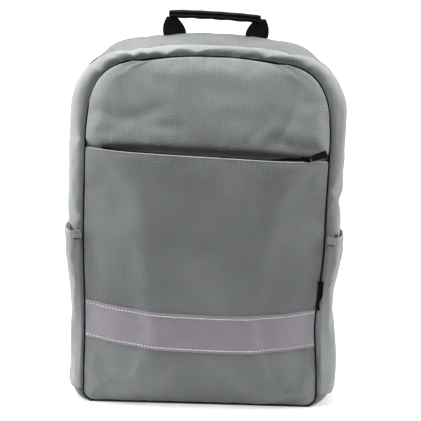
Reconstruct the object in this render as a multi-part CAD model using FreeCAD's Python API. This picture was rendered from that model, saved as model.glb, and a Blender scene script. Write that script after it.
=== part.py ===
"""Daypack: panel-loading city daypack with a zipped main compartment, a padded laptop divider, a zipped front
pocket, two open side pockets, a carry handle and a two-strap harness. Millimetres, +Z up, front faces -Y,
origin at the centre of the flat base that the pack stands on."""

import FreeCAD, Part
import math
import os

V = FreeCAD.Vector

# ---- driving dimensions of the bag shell ----
WALL = 2.0                 # coated polyester with its foam and lining
GAP = 0.3                  # clearance between pieces that lie against each other
BODY_HALF_WIDTH = 150.5    # widest half width, in front of and behind the main zip
SEAM_INSET = 17.5          # the front panel's seam lies this far inside the widest line
BACK_INSET = 8.5
ZIP_RECESS = 3.5           # how deep the main zip sinks between the two gussets
BODY_H = 408.0             # height of the bag without its handle
SEAM_DROP = 16.0           # how far the top lies below that at the front seam,
ROLL_DROP = 10.0           # at the front gusset's roll,
CHEST_DROP = 10.5          # just in front of the zip,
ZIP_DROP = 13.5            # along the zip
MID_DROP = 5.0             # and behind it
BODY_DEPTH = 118.0         # from the front seam to the rear edge of the gusset
SEAM_Y = -58.0             # plane of the front panel's seam
ROLL_REACH = 12.0          # from the seam to where the front gusset faces the side
CHEST_REACH = 30.0
ZIP_REACH = 44.0           # from the seam to the centre line of the main zip
MID_REACH = 38.0           # from the rear edge forward to the fullest section
TOP_ARCH = 6.0             # how much the top edge rises between its corners
CORNER_R = 74.0            # top corner radius at mid depth
BASE_R = 30.0              # bottom corner radius
SEAM_LIFT = 4.0            # the front seam clears the floor by this
BASE_SAG = 0.4             # the base would hang this far below the floor, which presses it flat
BOOT_H = 16.0              # height that the base panel wraps up the sides
PANEL_BULGE = 24.0         # how far the stuffed front stands proud of its seam
PANEL_RUN = 80.0           # the bulge grows over this distance from the seam
YOKE_BULGE = 11.0          # the yoke is flatter, so that the pocket zip runs straight
YOKE_RUN = 20.0

# ---- front pocket ----
MOUTH_DROP = 119.0         # from the top of the bag to the pocket's edge at the left seam
MOUTH_SLOPE_DROP = 9.0     # and this much more at the right seam
POCKET_BOTTOM_Z = 64.0

# ---- accent band ----
BAND_T = 1.4
BAND_TOP = (120.0, 112.0, 115.0)      # height at the left seam, the middle and the right seam
BAND_HEIGHT = 43.0

# ---- side pockets ----
SIDE_POCKET_BELOW_FOLD = 28.0
SIDE_POCKET_PUFF = 8.0     # how far the mouth stands off the side panel
SIDE_HEM_H = 9.0

# ---- opening front: fold line through the two ends of the main zip ----
FOLD_BELOW_MOUTH = 54.0
FOLD_HALF_ANGLE = 22.0     # degrees; half of the wedge of fabric that crumples at the fold
ZIP_BELOW_FOLD = 29.0      # length of the zip that stays shut below the fold

# ---- zips ----
TAPE_T = 0.7
TAPE_W = 11.0
COIL_W = 1.5
COIL_T = 1.8
COIL_GAP = 1.2             # between the two rows of the coil
ZIP_SLOT = 9.0             # width of the slot between the two gussets
SLIDER_L = 10.0
SLIDER_W = 6.4
SLIDER_PLATE = 0.9
POST_T = 0.6
BAIL_H = 3.4
PULL_L = 24.0
PULL_W = 6.0
PULL_T = 1.8
PULL_TILT = 20.0           # the pocket's puller lies this far above its zip
CHAIN_LIFT = 0.2           # the pocket's slider clears the pocket's edge by this
CHAIN_BACK = 2.8           # and this far behind the pocket panel where the mouth gapes
CHAIN_INSET = 20.0         # from the seam to each end of the pocket's chain
SHUT_LENGTH = 13.0         # length of chain that the slider holds shut
CHAIN_PART = 34.0          # length over which the rows part
BACK_ROOM = 3.4            # room behind the pocket zip for its slider
SLIDER_INSET = 6.0         # from the right end of the chain to the slider

# ---- handle ----
HANDLE_X = 7.0
HANDLE_INSET = 10.0        # in front of the gusset's rear edge
HANDLE_AXIS_RISE = 2.6     # above the top of the bag
HANDLE_SPAN = 110.0        # length of the grip
GRIP_H = 9.5
GRIP_D = 11.0
GRIP_TOP_RISE = 25.0
WEB_W = 25.0
WEB_T = 1.8
LEG_SPACING = 94.0

# ---- back and harness ----
BACK_PANEL_T = 4.0
PAD_T = 9.0
STRAP_W = 62.0
STRAP_T = 11.0
STRAP_TOP_X = 46.0
STRAP_END_INSET = 46.0     # from the back panel's edge to the strap's lower end
STRAP_TOP_DROP = 24.0
STRAP_END_Z = 140.0
STRAP_BOW = 17.0           # how far the strap arches away from the back
STUB_H = 10.0              # root of each strap that is sewn under the harness yoke
LOCK_RIM = 3.5             # plastic beside the webbing slots
SLOT_PLAY = 1.0            # room beside the webbing in its slots
LOCK_L = 28.0
LOCK_T = 4.0
LOCK_BAR = 4.0             # height of the bar that hangs in the strap's loop
LOOP_ROOM = 3.2            # from the middle of that bar to the loop round it
LOOP_T = 1.5
WING_Z = 30.0
PAD_BOTTOM = 112.0
PAD_TOP_DROP = 56.0
PAD_SPLIT = 14.0           # half the channel between the two back pads
PAD_EDGE = 24.0            # from the back panel's edge to the pads
LUMBAR_Z = (26.0, 98.0)
LUMBAR_EDGE = 29.5         # from the back's edge to the lumbar pad, less half the webbing's width
TAIL_L = 70.0

# ---- inside ----
DIVIDER_Y = 38.0
DIVIDER_T = 6.0
DIVIDER_DROP = 88.0
BOARD_T = 2.0

# ---- worked out ----
FAR = 900.0
SEAM_HALF_WIDTH = BODY_HALF_WIDTH - SEAM_INSET
BACK_HALF_WIDTH = BODY_HALF_WIDTH - BACK_INSET
BACK_Y = SEAM_Y + BODY_DEPTH
ROLL_Y = SEAM_Y + ROLL_REACH
CHEST_Y = SEAM_Y + CHEST_REACH
ZIP_Y = SEAM_Y + ZIP_REACH
MID_Y = BACK_Y - MID_REACH
SEAM_TOP = BODY_H - SEAM_DROP
ZIP_TOP = BODY_H - ZIP_DROP
MID_TOP = BODY_H - MID_DROP
MOUTH_LEFT_Z = BODY_H - MOUTH_DROP
MOUTH_RIGHT_Z = MOUTH_LEFT_Z - MOUTH_SLOPE_DROP
FOLD_Z = MOUTH_RIGHT_Z - FOLD_BELOW_MOUTH
SIDE_POCKET_TOP = FOLD_Z - SIDE_POCKET_BELOW_FOLD
ZIP_END_Z = FOLD_Z - ZIP_BELOW_FOLD
SIDE_FRONT_Y = SEAM_Y + 5.0
SIDE_BACK_Y = BACK_Y - 3.0
CHAIN_RISE = SLIDER_W / 2 + CHAIN_LIFT
CHAIN_HALF = SEAM_HALF_WIDTH - CHAIN_INSET
CHAIN_SHUT_X = (-CHAIN_HALF - 1, CHAIN_HALF - SHUT_LENGTH)
POCKET_SLIDER_X = CHAIN_HALF - SLIDER_INSET
HANDLE_Y = BACK_Y - HANDLE_INSET
HANDLE_AXIS_Z = BODY_H + HANDLE_AXIS_RISE
GRIP_TOP_Z = BODY_H + GRIP_TOP_RISE
STRAP_END_X = BACK_HALF_WIDTH - STRAP_END_INSET
STRAP_TOP_Z = BODY_H - STRAP_TOP_DROP
LOCK_W = WEB_W + 2 * (LOCK_RIM + SLOT_PLAY)
BACK_FACE_Y = BACK_Y + GAP + BACK_PANEL_T
PAD_FACE_Y = BACK_FACE_Y + GAP + PAD_T
SLOT_FRONT = ZIP_Y - ZIP_SLOT / 2
SLOT_REAR = ZIP_Y + ZIP_SLOT / 2
ZIP_HALF_WIDTH = BODY_HALF_WIDTH - ZIP_RECESS
ROLL_HALF_WIDTH = SEAM_HALF_WIDTH + 0.6 * (BODY_HALF_WIDTH - SEAM_HALF_WIDTH)
SLIDER_TOP = COIL_T / 2 + GAP + SLIDER_PLATE
EYE_OUT = SLIDER_TOP + BAIL_H / 2          # from the chain's plane to the middle of the bail's eye

# Shell stations from front to back: depth, half width, bottom, top, top radius, bottom radius.
STATIONS = [
    (SEAM_Y, SEAM_HALF_WIDTH, SEAM_LIFT, SEAM_TOP, CORNER_R - 12, BASE_R - 5),
    (ROLL_Y, ROLL_HALF_WIDTH, -BASE_SAG, BODY_H - ROLL_DROP, CORNER_R - 5, BASE_R - 2),
    (CHEST_Y, BODY_HALF_WIDTH, -BASE_SAG, BODY_H - CHEST_DROP, CORNER_R, BASE_R),
    (SLOT_FRONT, ZIP_HALF_WIDTH, -BASE_SAG, ZIP_TOP, CORNER_R, BASE_R),
    (SLOT_REAR, ZIP_HALF_WIDTH, -BASE_SAG, ZIP_TOP, CORNER_R, BASE_R),
    (MID_Y, BODY_HALF_WIDTH, -BASE_SAG, MID_TOP, CORNER_R, BASE_R),
    (BACK_Y, BACK_HALF_WIDTH, -BASE_SAG, BODY_H, CORNER_R - 5, BASE_R - 3),
]


# ---------------------------------------------------------------- helpers
def station(y):
    """The shell's section at depth y, between the two stations round it."""
    y = min(max(y, SEAM_Y), BACK_Y)
    for a, b in zip(STATIONS, STATIONS[1:]):
        if a[0] <= y <= b[0]:
            t = (y - a[0]) / (b[0] - a[0])
            return [p + (q - p) * t for p, q in zip(a, b)][1:]
    return list(STATIONS[-1][1:])


def outline(y, inset=0.0):
    """Closed wire of the bag's section at depth y, seen from the front, with an arched top."""
    w, zb, zt, rt, rb = station(y)
    w, zb, zt = w - inset, zb + inset, zt - inset
    rt, rb = rt - inset, rb - inset
    shoulder = zt - TOP_ARCH
    c = math.sqrt(0.5)
    top_l, top_r = V(-w + rt, y, shoulder), V(w - rt, y, shoulder)
    pts = {
        "l1": V(-w, y, zb + rb), "l2": V(-w, y, shoulder - rt),
        "r1": V(w, y, zb + rb), "r2": V(w, y, shoulder - rt),
        "b1": V(-w + rb, y, zb), "b2": V(w - rb, y, zb),
    }
    edges = [
        Part.LineSegment(pts["l1"], pts["l2"]),
        Part.Arc(pts["l2"], V(-w + rt * (1 - c), y, shoulder - rt * (1 - c)), top_l),
        Part.Arc(top_l, V(0, y, zt), top_r),
        Part.Arc(top_r, V(w - rt * (1 - c), y, shoulder - rt * (1 - c)), pts["r2"]),
        Part.LineSegment(pts["r2"], pts["r1"]),
        Part.Arc(pts["r1"], V(w - rb * (1 - c), y, zb + rb * (1 - c)), pts["b2"]),
        Part.LineSegment(pts["b2"], pts["b1"]),
        Part.Arc(pts["b1"], V(-w + rb * (1 - c), y, zb + rb * (1 - c)), pts["l1"]),
    ]
    return Part.Wire([e.toShape() for e in edges])


def hull(y0, y1, inset=0.0):
    """Solid of the shell's outer form between two depths, shrunk by inset."""
    depths = [y0] + [s[0] for s in STATIONS if y0 < s[0] < y1] + [y1]
    return Part.makeLoft([outline(y, inset) for y in depths], True, True)


def band(y0, y1, outer=0.0, thickness=WALL):
    """Tube of fabric that follows the shell between two depths."""
    return hull(y0, y1, outer).cut(hull(y0, y1, outer + thickness))


def slab(x0, x1, y0, y1, z0, z1):
    return Part.makeBox(x1 - x0, y1 - y0, z1 - z0, V(x0, y0, z0))


def above(z):
    return slab(-FAR, FAR, -FAR, FAR, z, FAR)


def below(z):
    return slab(-FAR, FAR, -FAR, FAR, -FAR, z)


def prism(points, direction):
    """Solid from a closed polygon of points, pushed along direction."""
    return Part.Face(Part.makePolygon(points + points[:1])).extrude(direction)


def sheet(fn, us, vs, push):
    """Solid sheet: a smooth face through fn(u, v) on a grid, pushed along a vector."""
    face = Part.BSplineSurface()
    face.interpolate([[fn(u, v) for v in vs] for u in us])
    return face.toShape().extrude(push)


def steps(a, b, n):
    return [a + (b - a) * i / (n - 1) for i in range(n)]


def solids_of(shape):
    return Part.Compound([s for s in shape.Solids if s.Volume > 1.0])


def mirrored(shape):
    return shape.mirror(V(0, 0, 0), V(1, 0, 0))


def turned(shape, centre, axis, degrees):
    copy = shape.copy()
    copy.rotate(centre, axis, degrees)
    return copy


NODES = {}


def keep(name, shape):
    """Stores one named sub-part."""
    NODES[name] = solids_of(shape)


# ---------------------------------------------------------------- front surfaces
def seam_distance(x, z):
    """How far a point of the front lies inside the seam; negative outside it."""
    w, z0, z1, rt, rb = station(SEAM_Y)
    r = rt if z > (z0 + z1) / 2 else rb
    dx, dz = abs(x) - (w - r), abs(z - (z0 + z1) / 2) - ((z1 - z0) / 2 - r)
    return r - math.hypot(max(dx, 0), max(dz, 0)) - min(max(dx, dz), 0)


def pillow(x, z, height, run, power):
    """Height of a stuffed panel that rises from its seam over a distance."""
    near = 1 - min(1.0, seam_distance(x, z) / run)
    return height * (1 - near ** power) if near < 1 else -4.0 * (near - 1)


def mouth_z(x):
    """Height of the pocket's edge."""
    t = (x + SEAM_HALF_WIDTH) / (2 * SEAM_HALF_WIDTH)
    return MOUTH_LEFT_Z + (MOUTH_RIGHT_Z - MOUTH_LEFT_Z) * t


def pocket_face(x, z):
    """Rear face of the pocket panel."""
    return SEAM_Y - pillow(x, z, PANEL_BULGE, PANEL_RUN, 2.5)


def yoke_face(x, z):
    """Rear face of the yoke."""
    return SEAM_Y - pillow(x, z, YOKE_BULGE, YOKE_RUN, 2.0)


def pocket_back_face(x, z):
    """Front face of the pocket's rear wall, which meets the panel along the pocket's bottom."""
    rise = min(1.0, max(0.0, (z - POCKET_BOTTOM_Z) / 26.0))
    here = pocket_face(x, z)
    return here + max(BACK_ROOM, yoke_face(x, z) - here + BACK_ROOM) * rise


def chain_face(x, z):
    """Middle plane of the pocket zip's lower row: shut at both ends, behind the panel between them."""
    shut = yoke_face(x, z) - WALL / 2
    part = min(x - CHAIN_SHUT_X[0], CHAIN_SHUT_X[1] - x) / CHAIN_PART
    part = min(1.0, max(0.0, part))
    part = part * part * (3 - 2 * part)
    return shut + (pocket_face(x, z) + CHAIN_BACK - shut) * part


def front_sheet(fn, offset, thickness, z0=0.0, z1=SEAM_TOP + 4):
    """Front panel fabric whose rear face is fn + offset and whose thickness goes forward."""
    xs = steps(-SEAM_HALF_WIDTH - 3, SEAM_HALF_WIDTH + 3, 31)
    zs = steps(z0, z1, max(7, int((z1 - z0) / 9)))
    return sheet(lambda x, z: V(x, fn(x, z) + offset, z), xs, zs, V(0, -thickness, 0))


def under_mouth(shift, top=False):
    """Everything below (or above) the pocket's edge moved up by shift."""
    far = FAR if top else -FAR
    xs = (-FAR, FAR)
    pts = [V(x, -FAR, mouth_z(x) + shift) for x in xs] + [V(x, -FAR, far) for x in xs[::-1]]
    return prism(pts, V(0, 2 * FAR, 0))


def seam_prism(inset):
    """Everything within the seam's outline: in front of it, or on both sides when inset."""
    front = Part.Face(outline(SEAM_Y, inset)).extrude(V(0, -80, 0))
    return front.fuse(Part.Face(outline(SEAM_Y, inset)).extrude(V(0, 40, 0))) if inset else front


def fold_wedge(extra=0.0):
    """The wedge in front of the fold line where fabric crumples when the front falls open."""
    reach = 110.0
    rise = reach * math.tan(math.radians(FOLD_HALF_ANGLE))
    tip = V(-FAR, ZIP_Y + extra, FOLD_Z)
    pts = [tip, V(-FAR, tip.y - reach, FOLD_Z - rise - extra), V(-FAR, tip.y - reach, FOLD_Z + rise + extra)]
    return prism(pts, V(2 * FAR, 0, 0))


def split_at_fold(shape):
    """Cuts a front piece into what stays, what crumples and what falls open."""
    wedge = fold_wedge()
    rest = shape.cut(fold_wedge(GAP))
    return rest.common(below(FOLD_Z)), shape.common(wedge), rest.common(above(FOLD_Z))


# ---------------------------------------------------------------- shell
def build_shell():
    front = band(SEAM_Y, SLOT_FRONT)
    rear = band(SLOT_REAR, BACK_Y)
    middle = band(SLOT_FRONT, SLOT_REAR)
    upper, boot = above(BOOT_H + GAP), below(BOOT_H)

    keep("base_panel", band(SEAM_Y, BACK_Y).common(boot).common(above(0)))
    keep("base_board", slab(-BODY_HALF_WIDTH + 32, BODY_HALF_WIDTH - 32, ROLL_Y + 4, BACK_Y - 6,
                            WALL + GAP, WALL + GAP + BOARD_T))

    low, fold, high = split_at_fold(front.common(upper))
    side = low.fuse(rear.common(upper).common(below(FOLD_Z))).fuse(
        middle.common(upper).common(below(ZIP_END_Z - GAP))).removeSplitter()
    left, right = slab(-FAR, 0, -FAR, FAR, 0, FAR), slab(0, FAR, -FAR, FAR, 0, FAR)
    keep("side_panel_left", side.common(left))
    keep("side_panel_right", side.common(right))
    rear_up = rear.common(above(FOLD_Z + GAP))
    crown_z = MID_TOP - TOP_ARCH - CORNER_R - 4
    for name, part, stem in (("left", left, rear_up), ("right", right, rear_up)):
        keep(f"rear_gusset_{name}", stem.common(part).common(below(crown_z)))
        keep(f"front_gusset_{name}", high.common(part).common(below(crown_z)))
    keep("rear_gusset_top", rear_up.common(above(crown_z + GAP)))
    keep("front_gusset_top", high.common(above(crown_z + GAP)))
    return fold


def build_front(side_fold):
    outer = seam_prism(0.0)
    inner = seam_prism(WALL + GAP)
    mouth = under_mouth(0.0)
    lower = front_sheet(pocket_face, 0.0, WALL, 0, FOLD_Z - 8).common(outer)
    middle = front_sheet(pocket_face, 0.0, WALL, FOLD_Z - 36, FOLD_Z + 36).common(outer)
    upper = front_sheet(pocket_face, 0.0, WALL, FOLD_Z + 8, MOUTH_LEFT_Z + 4).common(outer).common(mouth)
    fold = split_at_fold(middle)[1]
    keep("pocket_panel_lower", split_at_fold(lower)[0])
    keep("pocket_panel_upper", split_at_fold(upper)[2])

    back_gap = 2 * GAP
    back = front_sheet(pocket_back_face, back_gap + WALL, WALL).common(inner).common(under_mouth(16.0))
    back = back.common(above(POCKET_BOTTOM_Z - 2))
    back_low, back_fold, back_high = split_at_fold(back)
    keep("pocket_back_lower", back_low)
    keep("pocket_back_upper", back_high)
    keep("fold_fabric", Part.Compound([*side_fold.Solids, *fold.Solids, *back_fold.Solids]))

    keep("front_yoke", front_sheet(yoke_face, 0.0, WALL, MOUTH_RIGHT_Z - 4).common(outer).common(
        under_mouth(CHAIN_RISE + SLIDER_W / 2 + GAP, top=True)))

    # Accent band: its edges are arcs through the left seam, the middle and the right seam.
    ends = SEAM_HALF_WIDTH - 1
    lines = []
    for drop in (0.0, BAND_HEIGHT):
        p = [V(x, -FAR / 2, z - drop) for x, z in zip((-ends, 0, ends), BAND_TOP)]
        lines.append(p)
    rim = [
        Part.Arc(*lines[0]).toShape(), Part.makeLine(lines[0][2], lines[1][2]),
        Part.Arc(*lines[1]).toShape(), Part.makeLine(lines[1][0], lines[0][0]),
    ]
    strip = Part.Face(Part.Wire(Part.__sortEdges__(rim))).extrude(V(0, FAR, 0))
    keep("accent_band", front_sheet(pocket_face, -WALL - GAP / 2, BAND_T).common(strip))

    # Folded tab caught in the right seam, lying on the gusset's roll.
    slope = math.atan2(ROLL_Y - SEAM_Y, ROLL_HALF_WIDTH - SEAM_HALF_WIDTH)
    tab = slab(0.5, 7.5, -0.9, 0, 114, 147)
    tab = turned(tab, V(0, 0, 0), V(0, 0, 1), math.degrees(slope))
    tab.translate(V(SEAM_HALF_WIDTH + 0.8, SEAM_Y - 0.8, 0))
    keep("side_label", tab)


# ---------------------------------------------------------------- side pockets
def side_wall_x(y):
    """Half width of the side without the zip's recess."""
    if CHEST_Y < y < MID_Y:
        return BODY_HALF_WIDTH
    return station(y)[0]


def pocket_wall_x(y, z):
    """Inner face of the right side pocket's fabric."""
    mid, half = (SIDE_FRONT_Y + SIDE_BACK_Y) / 2, (SIDE_BACK_Y - SIDE_FRONT_Y) / 2
    t = min(1.0, abs(y - mid) / half)
    lift = min(1.0, max(0.0, (z - BOOT_H) / (SIDE_POCKET_TOP - BOOT_H)))
    return side_wall_x(y) + 2 * GAP + SIDE_POCKET_PUFF * (1 - t ** 2) * lift


def build_side_pockets():
    ys = steps(SIDE_FRONT_Y, SIDE_BACK_Y, 23)
    zs = steps(BOOT_H + GAP, SIDE_POCKET_TOP, 9)
    cloth = sheet(lambda y, z: V(pocket_wall_x(y, z), y, z), ys, zs, V(WALL, 0, 0))
    hem_z = SIDE_POCKET_TOP - SIDE_HEM_H
    hem = sheet(lambda y, z: V(pocket_wall_x(y, SIDE_POCKET_TOP - 2), y, z), ys,
                steps(hem_z + GAP, SIDE_POCKET_TOP, 4), V(WALL + 0.8, 0, 0))
    for name, place in (("right", lambda s: s), ("left", mirrored)):
        keep(f"side_pocket_{name}", place(cloth.common(below(hem_z))))
        keep(f"side_pocket_hem_{name}", place(hem))


# ---------------------------------------------------------------- zips
def slider(length, width):
    """Zip slider: two plates with turned-in flanges, a post between them and a bail.
    It travels along +Z, its outer face looks along +X and the chain's plane is x = 0."""
    top = SLIDER_TOP
    cavity = top - SLIDER_PLATE
    flange = TAPE_T / 2 + GAP
    body = slab(-top, top, -width / 2, width / 2, -length / 2, length / 2)
    body = body.cut(slab(-cavity, cavity, -width / 2 + 0.8, width / 2 - 0.8, -length, length))
    body = body.cut(slab(-flange, flange, -width, width, -length, length))
    post = slab(-cavity - 0.1, cavity + 0.1, -POST_T / 2, POST_T / 2, length / 2 - 3, length / 2 - 1)
    bail = slab(top - 0.1, top + BAIL_H, -1.3, 1.3, -2.4, 2.4)
    eye = slab(top + 0.6, top + BAIL_H - 0.6, -FAR, FAR, -1.5, 1.5)
    return body.fuse(post).fuse(bail.cut(eye)).removeSplitter()


def pull_tab():
    """Puller hanging along -Z from a bail whose eye is at the origin: a loop over the bail and a tab."""
    inner = PULL_W / 2 - 0.6
    loop = slab(-0.6, 0.6, -PULL_W / 2, PULL_W / 2, -7.5, 0.6)
    loop = loop.cut(slab(-FAR, FAR, -inner, inner, -6.5, -0.6))
    tab = Part.makeLoft([
        rect_wire(V(0, 0, -7.5), V(0, 1, 0), V(1, 0, 0), PULL_W, 1.2),
        rect_wire(V(0, 0, -11), V(0, 1, 0), V(1, 0, 0), PULL_W + 0.8, PULL_T + 0.8),
        rect_wire(V(0, 0, -PULL_L), V(0, 1, 0), V(1, 0, 0), PULL_W + 1.6, PULL_T + 0.8),
    ], True, True)
    return loop.fuse(tab).removeSplitter()


def rect_wire(centre, across, thick, width, thickness):
    """Rectangle round centre with its sides along two directions."""
    a, b = V(across).normalize() * (width / 2), V(thick).normalize() * (thickness / 2)
    pts = [centre + a + b, centre - a + b, centre - a - b, centre + a - b]
    return Part.makePolygon(pts + pts[:1])


def build_main_zip():
    depth = WALL + GAP
    climb = above(ZIP_END_Z)
    row = COIL_GAP / 2
    coil_in = depth + TAPE_T / 2 - COIL_T / 2
    tapes = {"front": (ZIP_Y - row - COIL_W - TAPE_W, ZIP_Y - row - COIL_W),
             "rear": (ZIP_Y + row + COIL_W, ZIP_Y + row + COIL_W + TAPE_W)}
    coils = {"front": (ZIP_Y - row - COIL_W, ZIP_Y - row), "rear": (ZIP_Y + row, ZIP_Y + row + COIL_W)}
    for side in ("front", "rear"):
        keep(f"main_zip_tape_{side}", band(*tapes[side], depth, TAPE_T).common(climb))
        keep(f"main_zip_coil_{side}", band(*coils[side], coil_in, COIL_T).common(climb))

    chain_x = ZIP_HALF_WIDTH - depth - TAPE_T / 2
    for name, place in (("right", lambda s: s), ("left", mirrored)):
        body = slider(SLIDER_L, SLIDER_W)
        body.translate(V(chain_x, ZIP_Y, FOLD_Z))
        keep(f"main_slider_{name}", place(body))
        pull = pull_tab()
        pull.translate(V(chain_x + EYE_OUT, ZIP_Y, FOLD_Z))
        keep(f"main_pull_{name}", place(pull))
        stop = slab(chain_x - 1.2, chain_x + 0.3, ZIP_Y - 4, ZIP_Y + 4, ZIP_END_Z - 3, ZIP_END_Z - GAP)
        keep(f"zip_bartack_{name}", place(stop))
    return chain_x


def along_mouth(fn, offset, thickness, low, high):
    """Strip that follows the pocket's mouth on a front surface, between two heights above its edge."""
    x0, x1 = -CHAIN_HALF, CHAIN_HALF
    strip = prism([V(x0, -FAR, mouth_z(x0) + low), V(x1, -FAR, mouth_z(x1) + low),
                   V(x1, -FAR, mouth_z(x1) + high), V(x0, -FAR, mouth_z(x0) + high)], V(0, 2 * FAR, 0))
    return front_sheet(fn, offset, thickness, MOUTH_RIGHT_Z - 20, MOUTH_LEFT_Z + 30).common(strip)


def build_pocket_zip():
    c, row = CHAIN_RISE, COIL_GAP / 2
    plane = -WALL / 2                        # the upper row lies in the middle of the yoke's thickness
    upper = along_mouth(yoke_face, plane + TAPE_T / 2, TAPE_T, c + row + COIL_W, c + row + COIL_W + TAPE_W)
    lower = along_mouth(chain_face, TAPE_T / 2, TAPE_T, -TAPE_W + 4, c - row - COIL_W)
    keep("pocket_zip_tape_upper", upper)
    keep("pocket_zip_tape_lower", lower.cut(NODES["pocket_panel_upper"]))
    keep("front_yoke", NODES["front_yoke"].cut(upper))     # the yoke's hem is folded over the tape
    upper_coil = along_mouth(yoke_face, plane + COIL_T / 2, COIL_T, c + row, c + row + COIL_W)
    lower_coil = along_mouth(chain_face, COIL_T / 2, COIL_T, c - row - COIL_W, c - row)
    keep("pocket_zip_coil_upper", upper_coil)
    keep("pocket_zip_coil_lower", lower_coil)

    slope = math.degrees(math.atan2(MOUTH_LEFT_Z - MOUTH_RIGHT_Z, 2 * SEAM_HALF_WIDTH))
    x = POCKET_SLIDER_X
    z = mouth_z(x) + c
    y = yoke_face(x, z) + plane
    body = slider(SLIDER_L, SLIDER_W)
    body = turned(body, V(0, 0, 0), V(0, 0, 1), -90)      # outer face looks to the front
    body = turned(body, V(0, 0, 0), V(0, 1, 0), 90 + slope)
    body.translate(V(x, y, z))
    keep("pocket_slider", body)
    pull = turned(pull_tab(), V(0, 0, 0), V(0, 0, 1), -90)
    pull = turned(pull, V(0, 0, 0), V(0, 1, 0), -90 - PULL_TILT)
    pull.translate(V(x, y - EYE_OUT, z))
    keep("pocket_pull", pull)
    print("panel behind chain", round(y - pocket_face(x, mouth_z(x)), 2))
    return V(x, y, z), slope


# ---------------------------------------------------------------- handle
def build_handle():
    feet_x = [HANDLE_X - LEG_SPACING / 2, HANDLE_X + LEG_SPACING / 2]
    grip_x = [HANDLE_X - HANDLE_SPAN / 2, HANDLE_X + HANDLE_SPAN / 2]
    grip_z = GRIP_TOP_Z - GRIP_H / 2
    across, thick = V(1, 0, 0), V(0, 1, 0)
    legs = []
    for foot, end, side in zip(feet_x, grip_x, (1, -1)):
        head = end + side * 8.5
        legs.append(Part.makeLoft([
            rect_wire(V(foot, HANDLE_Y, HANDLE_AXIS_Z - 0.4), across, thick, WEB_W, WEB_T),
            rect_wire(V(foot, HANDLE_Y, HANDLE_AXIS_Z + 7), across, thick, WEB_W + 1, WEB_T + 0.6),
            rect_wire(V(head, HANDLE_Y, grip_z - GRIP_H / 2 - GAP), across, thick, WEB_W - 9, WEB_T + 2),
        ], True, True))
    keep("handle_webbing", Part.Compound(legs))
    bar = slab(grip_x[0], grip_x[1], HANDLE_Y - GRIP_D / 2, HANDLE_Y + GRIP_D / 2, GRIP_TOP_Z - GRIP_H, GRIP_TOP_Z)
    keep("handle_grip", bar.makeFillet(3.4, [e for e in bar.Edges if abs(e.tangentAt(0).x) > 0.9]))

    crown = hull(MID_Y, BACK_Y)
    feet = []
    for foot in feet_x:
        block = slab(foot - WEB_W / 2, foot + WEB_W / 2, HANDLE_Y - 1.6, HANDLE_Y + 1.6,
                     BODY_H - 12, HANDLE_AXIS_Z - 1.5)
        feet.append(block.cut(crown))
    keep("handle_feet", Part.Compound(feet))


# ---------------------------------------------------------------- back and harness
def rounded_plate(x0, x1, z0, z1, y0, y1, r):
    plate = slab(x0, x1, y0, y1, z0, z1)
    return plate.makeFillet(r, [e for e in plate.Edges if abs(e.tangentAt(0).y) > 0.9])


def build_back():
    y0 = BACK_Y + GAP
    panel = Part.Face(outline(BACK_Y)).extrude(V(0, BACK_PANEL_T, 0)).translated(V(0, GAP, 0))
    keep("back_panel", panel.common(above(0)))
    face = BACK_FACE_Y + GAP
    pad_edge, pad_top = BACK_HALF_WIDTH - PAD_EDGE, BODY_H - PAD_TOP_DROP
    for name, x0, x1 in (("left", -pad_edge, -PAD_SPLIT), ("right", PAD_SPLIT, pad_edge)):
        keep(f"back_pad_{name}", rounded_plate(x0, x1, PAD_BOTTOM, pad_top, face, PAD_FACE_Y, 16))
    lumbar = BACK_HALF_WIDTH - LUMBAR_EDGE - WEB_W / 2
    keep("lumbar_pad", rounded_plate(-lumbar, lumbar, *LUMBAR_Z, face, PAD_FACE_Y, 16))
    patch_half = STRAP_TOP_X + 42
    patch = rounded_plate(-patch_half, patch_half, STRAP_TOP_Z - 14, STRAP_TOP_Z + 12, face, face + 3, 8)
    top = strap_line(0.0)
    width = STRAP_W * 0.86
    for side in (-1, 1):
        x = side * STRAP_TOP_X
        patch = patch.fuse(slab(x - width / 2, x + width / 2, face + 2, top.y + STRAP_T / 2,
                                strap_hinge().z + 1.0, STRAP_TOP_Z + 2 + STUB_H - 2))
    keep("harness_yoke", patch.removeSplitter())
    keep("laptop_divider", rounded_plate(-BACK_HALF_WIDTH + 8, BACK_HALF_WIDTH - 8, 8, BODY_H - DIVIDER_DROP,
                                         DIVIDER_Y, DIVIDER_Y + DIVIDER_T, 12))


def strap_line(t):
    """Centre line of the right strap from its top seam (0) to its lower end (1)."""
    x = STRAP_TOP_X + (STRAP_END_X - STRAP_TOP_X) * (t * t * (3 - 2 * t))
    z = STRAP_TOP_Z - 6 + (STRAP_END_Z - STRAP_TOP_Z + 6) * t
    lean = 8 * t
    y = PAD_FACE_Y + STRAP_T / 2 + 1.0 + lean + STRAP_BOW * math.sin(math.pi * min(1.0, t * 1.05)) ** 0.9
    return V(x, y, z)


def strap_hinge():
    """Point on the line that the straps swing about: the outer edge of their top seam."""
    return V(0, strap_line(0.0).y + STRAP_T / 2, strap_line(0.0).z + 2.5)


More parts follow.
